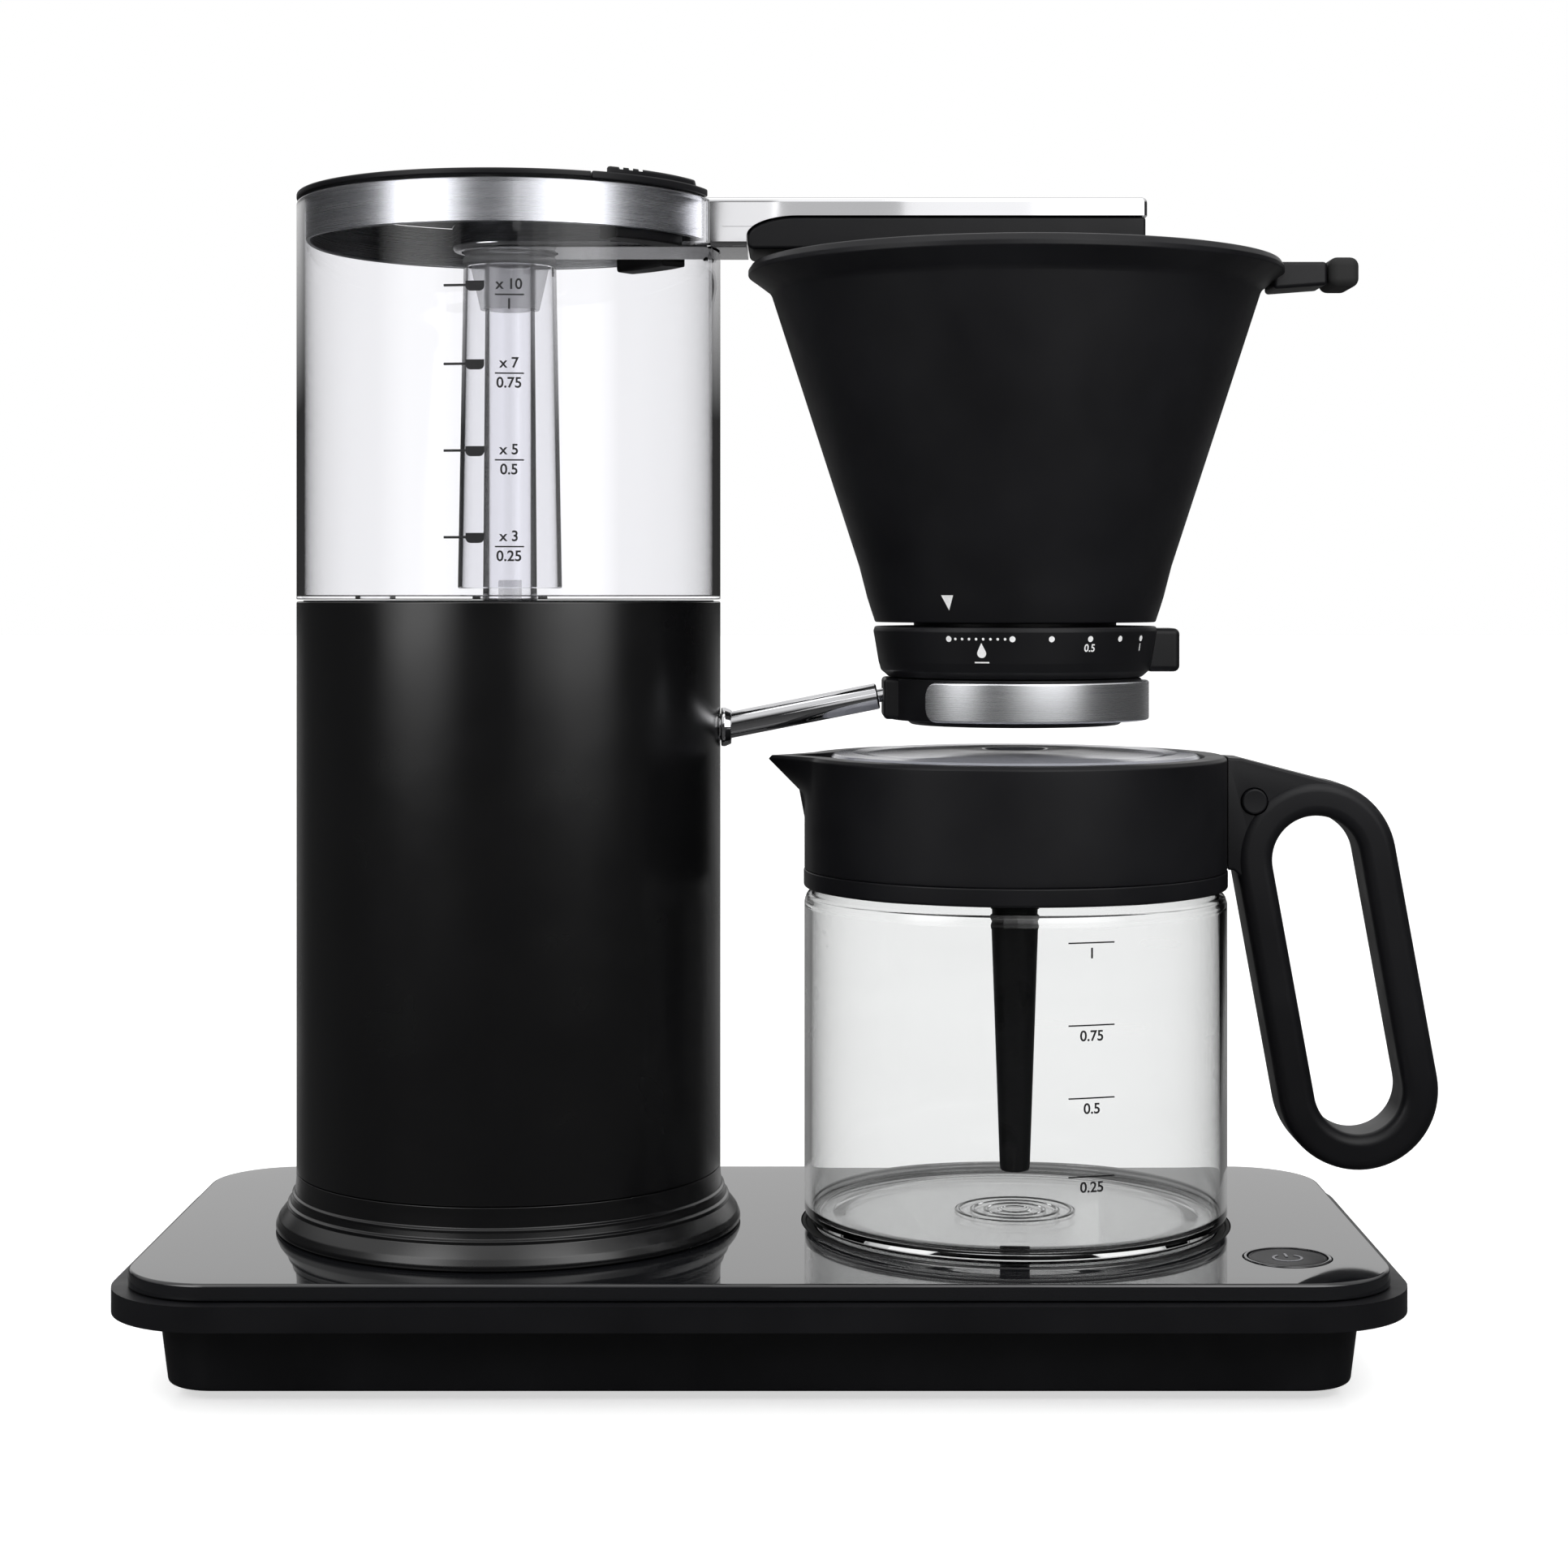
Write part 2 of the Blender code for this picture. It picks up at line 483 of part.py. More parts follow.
def collar_and_lid(looks):
    """Steel collar inside the rim, and the lid with its hinge pin over the arm."""
    at = (TANK_X, 0)
    collar = turned("tank_collar", [(0.0586, COLLAR_Z), (0.0598, COLLAR_Z), (0.0598, TANK_TOP_Z),
                                    (0.0586, TANK_TOP_Z)], looks["brushed steel"], at)
    notch = ARM_HALF_WIDTH + GAP
    cut(collar, block("collar notch", (TANK_X + 0.040, -notch, 0.30), (TANK_X + 0.080, notch, 0.36), None))
    pin_half = 0.0258
    rod("lid_hinge_pin", (HINGE_X, -pin_half, HINGE_Z), (HINGE_X, pin_half, HINGE_Z),
        [(0, 0), (0.0010, 0), (0.0010, 2 * pin_half), (0, 2 * pin_half)], looks["steel"], steps=12)
    lid = turned("tank_lid", [(0, LID_Z), (0.0617, LID_Z), (CYLINDER_R, LID_Z + 0.0008),
                              (CYLINDER_R, LID_TOP_Z - 0.0008), (0.0617, LID_TOP_Z), (0, LID_TOP_Z)],
                 looks["black plastic"], at)
    knuckle_half, knuckle_r = 0.0168, 0.0017
    knuckle = rod("knuckle", (HINGE_X, -knuckle_half, HINGE_Z), (HINGE_X, knuckle_half, HINGE_Z),
                  [(0, 0), (knuckle_r, 0), (knuckle_r, 2 * knuckle_half), (0, 2 * knuckle_half)],
                  None, steps=16)
    chord = TANK_X + BRACKET_X - 0.0008
    corners = [block(f"lid corner {side}", (chord, min(side * knuckle_half, side * 0.080), 0.33),
                     (TANK_X + 0.0700, max(side * knuckle_half, side * 0.080), 0.35), None)
               for side in (-1, 1)]
    cut(lid,
        block("beyond the hinge", (HINGE_X, -0.070, 0.33), (TANK_X + 0.080, 0.070, 0.35), None),
        *corners,
        block("room for the arm", (TANK_X - 0.018, -ARM_HALF_WIDTH - 0.0005, 0.33),
              (TANK_X + 0.080, ARM_HALF_WIDTH + 0.0005, ARM_TOP_Z + GAP), None))
    fuse(lid, knuckle)
    cut(lid, rod("pin hole", (HINGE_X, -0.030, HINGE_Z), (HINGE_X, 0.030, HINGE_Z),
                 [(0, 0), (0.0013, 0), (0.0013, 0.060), (0, 0.060)], None, steps=12))
    set_origin(lid, (HINGE_X, 0, HINGE_Z))


def outlet_arm(looks):
    """Chrome arm from the riser over the funnel, with a water channel and a pocket for its spray head."""
    end_x = JUG_X + 0.0375
    outline = arc(TANK_X, 0, ARM_HALF_WIDTH, 90, 270, 12)
    outline += [(end_x, -ARM_HALF_WIDTH), (end_x, ARM_HALF_WIDTH)]
    arm = loft("outlet_arm", [[(x, y, z) for x, y in outline] for z in (ARM_Z, ARM_TOP_Z)], looks["chrome"])
    soften(arm, 0.0011)
    pocket_x, head_end_x = JUG_X - 0.0770, JUG_X + 0.0370
    cut(arm,
        round_tool("cap socket", (TANK_X, 0), 0.0143, 0.31, 0.3253, 24),
        block("head pocket", (pocket_x, -0.0300, 0.31), (end_x + 0.010, 0.0300, 0.3312), None),
        rod("water channel", (TANK_X, 0, 0.3285), (pocket_x + 0.010, 0, 0.3285),
            [(0, 0), (0.0030, 0), (0.0030, pocket_x - TANK_X + 0.005), (0, pocket_x - TANK_X + 0.005)],
            None, steps=12),
        round_tool("channel inlet", (TANK_X, 0), 0.0030, 0.32, 0.3285, 12))
    head = block("spray_head", (pocket_x + GAP, -0.0165, ARM_Z - 0.0005), (head_end_x, 0.0165, 0.3309),
                 looks["black plastic"], bevel=0.0030)
    cut(head, *[round_tool(f"spray hole {index}", (JUG_X + 0.008 * math.cos(index * math.tau / 6),
                                                  0.008 * math.sin(index * math.tau / 6)),
                           0.0012, 0.31, 0.34, 8) for index in range(6)])


# Holder and funnel

def holder(looks):
    """Rod from the tower, its nut and trim, and the carrier ring with its steel band."""
    length = (ROD_END - ROD_START).length
    stud_r, stud_length = 0.0020, 0.0060
    rod("holder_rod", ROD_START, ROD_END, [
        (0, -0.004), (stud_r, -0.004), (stud_r, 0.0015), (ROD_R, 0.0015), (ROD_R, length - GAP),
        (stud_r, length - GAP), (stud_r, length + stud_length), (0, length + stud_length),
    ], looks["chrome"], steps=24)
    nut_bore_r = (stud_r + GAP) / math.cos(math.pi / 6)
    rod("rod_nut", ROD_START, ROD_END, [(nut_bore_r, -0.0030), (0.0050, -0.0030), (0.0050, 0.0012),
                                        (nut_bore_r, 0.0012)], looks["steel"], steps=6)
    trim_x = TANK_X + CYLINDER_R + GAP
    trim_z = ROD_START.z + (trim_x - ROD_START.x) * (ROD_END.z - ROD_START.z) / (ROD_END.x - ROD_START.x)
    rod("rod_escutcheon", (trim_x, 0, trim_z), (trim_x + 1, 0, trim_z), [
        (0.0046, 0), (0.0058, 0), (0.0058, 0.0018), (0.0050, 0.0030), (0.0046, 0.0030)
    ], looks["chrome"], steps=24)
    carrier = turned("holder_carrier", [(0.0323, HOLDER_Z), (0.0373, HOLDER_Z), (0.0373, HOLDER_TOP_Z),
                                        (0.0323, HOLDER_TOP_Z)], looks["black plastic"], (JUG_X, 0))
    boss = block("rod boss", (JUG_X - 0.0393, -0.0130, HOLDER_Z + 0.0003),
                 (JUG_X - 0.0340, 0.0130, HOLDER_TOP_Z), None)
    fuse(carrier, boss)
    cut(carrier, rod("stud hole", ROD_START, ROD_END, [
        (0, length - 0.002), (stud_r + GAP, length - 0.002), (stud_r + GAP, length + 0.012),
        (0, length + 0.012)], None, steps=12))
    opening = math.radians(52)
    turned("holder_ring", [(0.0376, HOLDER_Z), (0.0396, HOLDER_Z), (0.0396, 0.1955), (0.0376, 0.1955)],
           looks["brushed steel"], (JUG_X, 0), math.tau - 2 * opening, opening - math.pi, steps=24)


def funnel(looks):
    """Open cone with a rolled rim, a neck, an outlet cap below, and a side tab that holds the grip."""
    at = (JUG_X, 0)
    neck_r, neck_bore_r, neck_z = 0.0300, 0.0275, DRIP_RING_Z
    cone = turned("funnel", [
        (neck_bore_r, neck_z), (neck_r, neck_z), (neck_r, FUNNEL_FLOOR_Z), (0.0415, FUNNEL_FLOOR_Z),
        (0.0428, 0.2165), (0.0439, 0.2200), (0.0462, 0.2290), (0.0725, 0.3103), (0.0770, 0.3135),
        (0.0792, 0.3150), (0.0792, 0.3170), (0.0775, 0.3187), (0.0735, 0.3187), (0.0707, 0.3110),
        (0.0440, 0.2285), (0.0415, 0.2160), (neck_bore_r, 0.2151),
    ], looks["black plastic"], at)
    tab = block("funnel tab", (JUG_X + 0.0755, -0.0090, 0.3110), (JUG_X + 0.0914, 0.0090, 0.3187), None,
                bevel=0.0010)
    fuse(cone, tab)
    block("funnel_grip", (JUG_X + 0.0914 + GAP, -0.0105, 0.3111), (JUG_X + 0.1006, 0.0105, 0.3200),
          looks["rubber"], bevel=0.0022)
    floor = turned("funnel_outlet", [
        (0.0040, 0.1824), (0.0308, 0.1824), (0.0318, 0.1832), (0.0318, DRIP_RING_Z - GAP),
        (0.0290, DRIP_RING_Z - GAP), (0.0290, 0.1850), (0.0040, 0.1850),
    ], looks["black plastic"], at)
    fuse(floor, turned("outlet upstand", [(0.0040, 0.1840), (0.0060, 0.1840), (0.0060, 0.1925),
                                          (0.0040, 0.1925)], None, at, steps=SMALL_STEPS))


def drip_stop(looks):
    """Ring with a lever that turns the valve disc under the funnel."""
    at = (JUG_X, 0)
    ring = turned("drip_stop_ring", [
        (0.0303, DRIP_RING_Z), (0.0375, DRIP_RING_Z), (0.0398, 0.1985), (0.0405, 0.2010), (0.0420, 0.2100),
        (0.0416, DRIP_RING_TOP_Z), (0.0303, DRIP_RING_TOP_Z),
    ], looks["black plastic"], at)
    lever = block("lever", (JUG_X + 0.0380, -0.0075, 0.1980), (JUG_X + 0.0482, 0.0075, 0.2108), None,
                  bevel=0.0015)
    fuse(ring, lever)
    disc = turned("valve_disc", [(0, 0.2000), (0.0272, 0.2000), (0.0272, 0.2025), (0, 0.2025)],
                  looks["silicone"], at, steps=32)
    cut(disc, round_tool("valve opening", (JUG_X + 0.012, 0.010), 0.0040, 0.19, 0.21))
    turned("valve_seal", [(0.0230, 0.2028), (0.0272, 0.2028), (0.0272, 0.2050), (0.0230, 0.2050)],
           looks["rubber"], at, steps=32)


# Jug

def jug_glass(looks):
    """Straight glass with a narrower neck inside the collar, and its rounded foot as a solid of its own."""
    at = (JUG_X, 0)
    turned("jug_glass", [
        (CYLINDER_R, FOOT_TOP_Z + GAP), (CYLINDER_R, 0.1300), (0.0618, 0.1322), (0.0592, JUG_NECK_Z),
        (0.0592, 0.1660), (0.0570, 0.1660), (0.0570, 0.1335), (0.0598, 0.1310), (0.0603, 0.1285),
        (0.0603, FOOT_TOP_Z + GAP),
    ], looks["glass"], at)
    turned("jug_glass_foot", [
        (0, JUG_BOTTOM_Z), (0.0560, JUG_BOTTOM_Z), (0.0598, 0.0362), (0.0620, 0.0385),
        (CYLINDER_R, FOOT_TOP_Z), (0.0603, FOOT_TOP_Z), (0.0585, 0.0395), (0.0555, 0.0382), (0, 0.0382),
    ], looks["glass"], at)


def jug_collar(looks):
    """Black band round the neck with a pouring spout, on a clamp ring."""
    at = (JUG_X, 0)
    collar = turned("jug_collar", [
        (0.0596, 0.1395), (CYLINDER_R, 0.1395), (CYLINDER_R, JUG_TOP_Z - 0.0010), (0.0615, JUG_TOP_Z),
        (0.0560, JUG_TOP_Z), (0.0552, 0.1700), (0.0552, 0.1675), (0.0596, 0.1664),
    ], looks["black plastic"], at)
    tip = (JUG_X - 0.0731, 0.0, 0.1728)
    root_x, root_half = JUG_X - 0.0600, 0.0170
    spout = loft("spout", [
        [(root_x, -root_half, 0.1728), (root_x, 0.0, 0.1600), (root_x, root_half, 0.1728)],
        [(tip[0], -0.0006, tip[2]), (tip[0], 0.0, tip[2] - 0.0008), (tip[0], 0.0006, tip[2])],
    ], None)
    wide_x, narrow_x = root_x + 0.0070, tip[0] + 0.0010
    trough = loft("trough", [
        [(wide_x, -0.0150, 0.1760), (wide_x, 0.0, 0.1665), (wide_x, 0.0150, 0.1760)],
        [(narrow_x, -0.0030, 0.1760), (narrow_x, 0.0, 0.1722), (narrow_x, 0.0030, 0.1760)],
    ], None)
    fuse(collar, spout)
    cut(collar, trough)
    turned("jug_clamp_ring", [(0.0596, 0.1343), (0.0622, 0.1343), (0.0627, 0.1350), (0.0627, 0.1386),
                              (0.0622, 0.1391), (0.0596, 0.1391)], looks["black plastic"], at)


def jug_handle(looks):
    """Slanted loop on a block that is screwed to the collar."""
    slant = math.degrees(math.atan2(LOOP_LOW_X - LOOP_TOP_X, LOOP_TOP_Z - LOOP_LOW_Z))
    top = (JUG_X + LOOP_TOP_X, LOOP_TOP_Z)
    low = (JUG_X + LOOP_LOW_X, LOOP_LOW_Z)
    outer = [(JUG_X + 0.0600, 0.1728), (JUG_X + 0.0660, 0.1725)]
    outer += arc(*top, LOOP_OUTER_R, 74, slant, 6)
    outer += arc(*low, LOOP_OUTER_R, slant, slant - 180, 14)
    outer += [(JUG_X + 0.0652, 0.1383), (JUG_X + 0.0638, 0.1396), (JUG_X + 0.0600, 0.1398)]
    handle = side_prism("jug_handle", outer, 0.0100, looks["black plastic"])
    soften(handle, 0.0030)
    inner = arc(*top, LOOP_INNER_R, 180 + slant, slant, 10) + arc(*low, LOOP_INNER_R, slant, slant - 180, 10)
    recess = [(SCREW_X, -0.012, SCREW_Z), (SCREW_X, -0.0085, SCREW_Z)]
    cut(handle,
        side_prism("finger hole", inner, 0.02, None),
        round_tool("round of collar", (JUG_X, 0), CYLINDER_R + GAP, 0.12, 0.19, 64),
        rod("screw recess", *recess, [(0, 0), (SCREW_R + GAP, 0), (SCREW_R + GAP, 0.0035), (0, 0.0035)],
            None))
    rod("handle_screw_cap", (SCREW_X, -0.0103, SCREW_Z), recess[1],
        [(0, 0), (SCREW_R - 0.0004, 0), (SCREW_R, 0.0004), (SCREW_R, 0.0015), (0, 0.0015)],
        looks["black plastic"])


def jug_lid(looks):
    """Low dome in the collar, with a hole over the mixing tube that hangs under it."""
    at = (JUG_X, 0)
    turned("jug_lid", [
        (0.0060, 0.1704), (0.0546, 0.1704), (0.0546, 0.1728), (0.0530, 0.1738), (0.0400, 0.1746),
        (0.0200, 0.1750), (0.0100, 0.1748), (0.0060, 0.1735),
    ], looks["smoked plastic"], at)
    turned("mixing_tube", [(0.0036, 0.0498), (0.0048, 0.0504), (0.0048, 0.0520), (0.0074, 0.1650),
                           (0.0110, 0.1690), (0.0110, 0.1701), (0.0064, 0.1701), (0.0062, 0.1650),
                           (0.0036, 0.0520)], looks["black plastic"], at, steps=24)


def build():
    remove_everything()
    looks = {
        "black plastic": look("black plastic", (0.012, 0.012, 0.013), 0.45),
        "gloss black": look("gloss black", (0.008, 0.008, 0.009), 0.08),
        "painted metal": look("painted metal", (0.010, 0.010, 0.011), 0.30, 0.2),
        "rubber": look("rubber", (0.020, 0.020, 0.020), 0.80),
        "steel": look("steel", (0.55, 0.55, 0.56), 0.35, 1.0),
        "brushed steel": look("brushed steel", (0.60, 0.60, 0.62), 0.32, 1.0),
        "chrome": look("chrome", (0.80, 0.80, 0.82), 0.06, 1.0),
        "aluminium": look("aluminium", (0.62, 0.62, 0.64), 0.45, 1.0),
        "clear plastic": look("clear plastic", (0.95, 0.96, 0.98), 0.05, alpha=0.25),
        "glass": look("glass", (0.95, 0.98, 0.97), 0.02, alpha=0.30),
        "smoked plastic": look("smoked plastic", (0.45, 0.46, 0.50), 0.20),
        "silicone": look("silicone", (0.85, 0.86, 0.87), 0.40, alpha=0.70),
        "circuit board": look("circuit board", (0.03, 0.20, 0.08), 0.50),
    }
    for make in (base_housing, base_bottom_cover, base_fasteners, base_top_plate, hot_plate, cord_gland,
                 power_switch, tower_shells, boiler, plumbing, water_tank, riser, arm_brackets,
                 collar_and_lid, outlet_arm, holder, funnel, drip_stop, jug_glass, jug_collar,
                 jug_handle, jug_lid):
        make(looks)


build()
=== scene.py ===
"""Looks of the drip coffee maker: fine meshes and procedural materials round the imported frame."""

import json
import math

import bmesh
import bpy
from mathutils import Matrix, Vector


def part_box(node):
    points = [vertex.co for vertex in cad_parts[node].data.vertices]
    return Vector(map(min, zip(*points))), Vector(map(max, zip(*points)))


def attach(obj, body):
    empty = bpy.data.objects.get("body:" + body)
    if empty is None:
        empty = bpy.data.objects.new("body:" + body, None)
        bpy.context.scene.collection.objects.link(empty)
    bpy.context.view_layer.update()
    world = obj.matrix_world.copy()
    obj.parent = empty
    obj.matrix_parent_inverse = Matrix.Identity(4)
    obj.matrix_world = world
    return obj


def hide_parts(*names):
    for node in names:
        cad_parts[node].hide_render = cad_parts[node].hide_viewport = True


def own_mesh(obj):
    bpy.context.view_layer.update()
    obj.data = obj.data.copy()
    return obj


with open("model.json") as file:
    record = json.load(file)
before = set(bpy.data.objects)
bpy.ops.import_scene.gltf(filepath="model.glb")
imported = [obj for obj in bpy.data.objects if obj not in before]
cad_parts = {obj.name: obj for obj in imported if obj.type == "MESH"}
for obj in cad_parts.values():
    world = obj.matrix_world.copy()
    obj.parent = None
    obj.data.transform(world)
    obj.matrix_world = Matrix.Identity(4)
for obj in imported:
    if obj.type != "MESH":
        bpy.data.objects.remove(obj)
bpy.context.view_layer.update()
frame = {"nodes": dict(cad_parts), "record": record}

FINE = 160                     # facets round a large turned piece
SMALL = 64                     # facets round a small one
CAMERA_SIDE, CAMERA_BACK, CAMERA_UP = 0.0023, 0.8530, 0.2203
LENS, SHIFT_X, SHIFT_Y = 65.9, -0.0124, -0.1199
PRINT = 0.00004                # thickness of a printed mark


# Places, read from the frame

def middle(node):
    low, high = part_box(node)
    return (low + high) / 2


def span_z(node):
    low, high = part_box(node)
    return low.z, high.z


TANK_X = middle("tower_shell").x
JUG_X = middle("jug_glass").x
BASE_X = middle("base_housing").x
R = (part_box("tower_shell")[1].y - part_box("tower_shell")[0].y) / 2
TANK_AT, JUG_AT = (TANK_X, 0.0), (JUG_X, 0.0)
BUTTON_AT = tuple(middle("button_bezel")[:2])


# Mesh tools

def piece_from(name, shape, smooth_angle=35):
    bmesh.ops.remove_doubles(shape, verts=shape.verts, dist=1e-7)
    bmesh.ops.recalc_face_normals(shape, faces=shape.faces)
    mesh = bpy.data.meshes.new(name)
    shape.to_mesh(mesh)
    shape.free()
    mesh.shade_smooth()
    mesh.set_sharp_from_angle(angle=math.radians(smooth_angle))
    piece = bpy.data.objects.new(name, mesh)
    bpy.context.collection.objects.link(piece)
    return piece


def filleted(points, radius, steps=3, closed=True):
    """Round the corners of an outline; a radius is one number, or one for each point."""
    count = len(points)
    radii = radius if isinstance(radius, (list, tuple)) else [radius] * count
    result = []
    for index, point in enumerate(points):
        here = Vector(point)
        at_end = not closed and index in (0, count - 1)
        if radii[index] == 0 or here.x == 0 or at_end:
            result.append(tuple(here))
            continue
        before = Vector(points[index - 1]) - here
        after = Vector(points[(index + 1) % count]) - here
        turn = before.angle(after)
        if turn > math.radians(176):
            result.append(tuple(here))
            continue
        reach = min(radii[index] / math.tan(turn / 2), 0.49 * before.length, 0.49 * after.length)
        start, end = here + before.normalized() * reach, here + after.normalized() * reach
        bow = reach * math.tan(turn / 2)
        inwards = (before.normalized() + after.normalized()).normalized()
        centre = here + inwards * math.hypot(reach, bow)
        first, last = start - centre, end - centre
        for step in range(steps + 1):
            direction = first.lerp(last, step / steps)
            blend = first.angle(last) if first.length and last.length else 0
            if blend > 1e-4:
                part = step / steps
                direction = first * math.sin((1 - part) * blend) + last * math.sin(part * blend)
                direction = direction / math.sin(blend)
            result.append(tuple(centre + direction))
    return result


def turned(name, outline, at=(0.0, 0.0), steps=FINE, sweep=math.tau, start=0.0, angle=35):
    """Turn a closed outline of (radius, height) points about the vertical through `at`."""
    shape = bmesh.new()
    whole = math.isclose(sweep, math.tau)
    count = steps if whole else steps + 1
    angles = [start + sweep * step / steps for step in range(count)]
    rings = []
    for radius, height in outline:
        if radius == 0:
            rings.append([shape.verts.new((at[0], at[1], height))] * count)
            continue
        ring = [(at[0] + radius * math.cos(turn), at[1] + radius * math.sin(turn), height) for turn in angles]
        rings.append([shape.verts.new(point) for point in ring])
    for lower, upper in zip(rings, rings[1:] + rings[:1]):
        for step in range(steps):
            following = (step + 1) % count
            corners = dict.fromkeys((lower[step], lower[following], upper[following], upper[step]))
            if len(corners) > 2:
                shape.faces.new(list(corners))
    if not whole:
        shape.faces.new([ring[0] for ring in rings])
        shape.faces.new([ring[-1] for ring in rings])
    return piece_from(name, shape, angle)


def loft(name, sections, closed=False, angle=35):
    """Join outlines of equal point count; a closed loft joins the last to the first."""
    shape = bmesh.new()
    rings = [[shape.verts.new(point) for point in section] for section in sections]
    pairs = list(zip(rings, rings[1:] + rings[:1])) if closed else list(zip(rings, rings[1:]))
    for lower, upper in pairs:
        for index in range(len(lower)):
            following = (index + 1) % len(lower)
            shape.faces.new((lower[index], lower[following], upper[following], upper[index]))
    if not closed:
        shape.faces.new(rings[0])
        shape.faces.new(rings[-1])
    return piece_from(name, shape, angle)


def block(name, low, high, bevel=0.0, segments=4):
    corners = [(low[0], low[1]), (high[0], low[1]), (high[0], high[1]), (low[0], high[1])]
    piece = loft(name, [[(x, y, z) for x, y in corners] for z in (low[2], high[2])])
    if bevel:
        soften(piece, bevel, segments)
    return piece


def rounded_rectangle(inset, height, corner_steps=14):
    """Outline of the base's lip moved inwards, at one height."""
    low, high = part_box("base_housing")
    radius = max(0.030 - inset, 0.012)
    half_x, half_y = (high.x - low.x) / 2 - inset - radius, (high.y - low.y) / 2 - inset - radius
    points = []
    for corner, (sign_x, sign_y) in enumerate(((1, 1), (-1, 1), (-1, -1), (1, -1))):
        for step in range(corner_steps + 1):
            turn = math.radians(90) * (corner + step / corner_steps)
            points.append((BASE_X + sign_x * half_x + radius * math.cos(turn),
                           sign_y * half_y + radius * math.sin(turn), height))
    return points


def arc(centre, radius, from_degrees, to_degrees, steps):
    turns = [math.radians(from_degrees + (to_degrees - from_degrees) * step / steps)
             for step in range(steps + 1)]
    return [(centre[0] + radius * math.cos(turn), centre[1] + radius * math.sin(turn)) for turn in turns]


def soften(piece, width, segments=4, limit=35):
    bevel = piece.modifiers.new("rounded edges", "BEVEL")
    bevel.width, bevel.segments = width, segments
    bevel.limit_method, bevel.angle_limit = "ANGLE", math.radians(limit)
    bevel.harden_normals = False


def settle(piece, angle=35):
    """Apply a piece's modifiers and set its sharp edges again."""
    bpy.context.view_layer.update()
    evaluated = piece.evaluated_get(bpy.context.evaluated_depsgraph_get())
    mesh = bpy.data.meshes.new_from_object(evaluated)
    piece.modifiers.clear()
    piece.data = mesh
    mesh.shade_smooth()
    mesh.set_sharp_from_angle(angle=math.radians(angle))
    return piece


def combine(piece, tools, operation, angle=35):
    """Cut or fuse the tools and drop them; what stays is one plain mesh."""
    for tool in tools:
        boolean = piece.modifiers.new(tool.name, "BOOLEAN")
        boolean.operation, boolean.object, boolean.solver = operation, tool, "EXACT"
    settle(piece, angle)
    for tool in tools:
        bpy.data.objects.remove(tool, do_unlink=True)
    return piece


def cut(piece, *tools):
    return combine(piece, tools, "DIFFERENCE")


def fuse(piece, *tools):
    return combine(piece, tools, "UNION")


def round_tool(at, radius, low, high, steps=SMALL):
    return turned("tool", band(0, radius, low, high), at, steps)


def band(inner, outer, low, high):
    """Outline of a plain ring, from its radii and heights."""
    return [(inner, low), (outer, low), (outer, high), (inner, high)]


def plug(radius, length):
    """Outline of a plain round bar that starts at 0."""
    return band(0, radius, 0, length)


def rod(name, start, end, outline, steps=SMALL):
    """Turn an outline of (radius, distance from start) about the line from start to end."""
    piece = turned(name, outline, steps=steps)
    direction = (Vector(end) - Vector(start)).normalized()
    turn = Vector((0, 0, 1)).rotation_difference(direction).to_matrix().to_4x4()
    piece.data.transform(Matrix.Translation(start) @ turn)
    return piece


def stands_for(piece, body, slot, *nodes, look=None):
    """Finish a piece: its look, taken from its slot unless a look is given, its body and the CAD nodes that
    it replaces.
    """
    piece.data.materials.append(LOOKS[look or slot])
    shading = piece.modifiers.new("even shading", "WEIGHTED_NORMAL")
    shading.keep_sharp = True
    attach(piece, body)
    if nodes:
        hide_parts(*nodes)
    return piece


# Materials

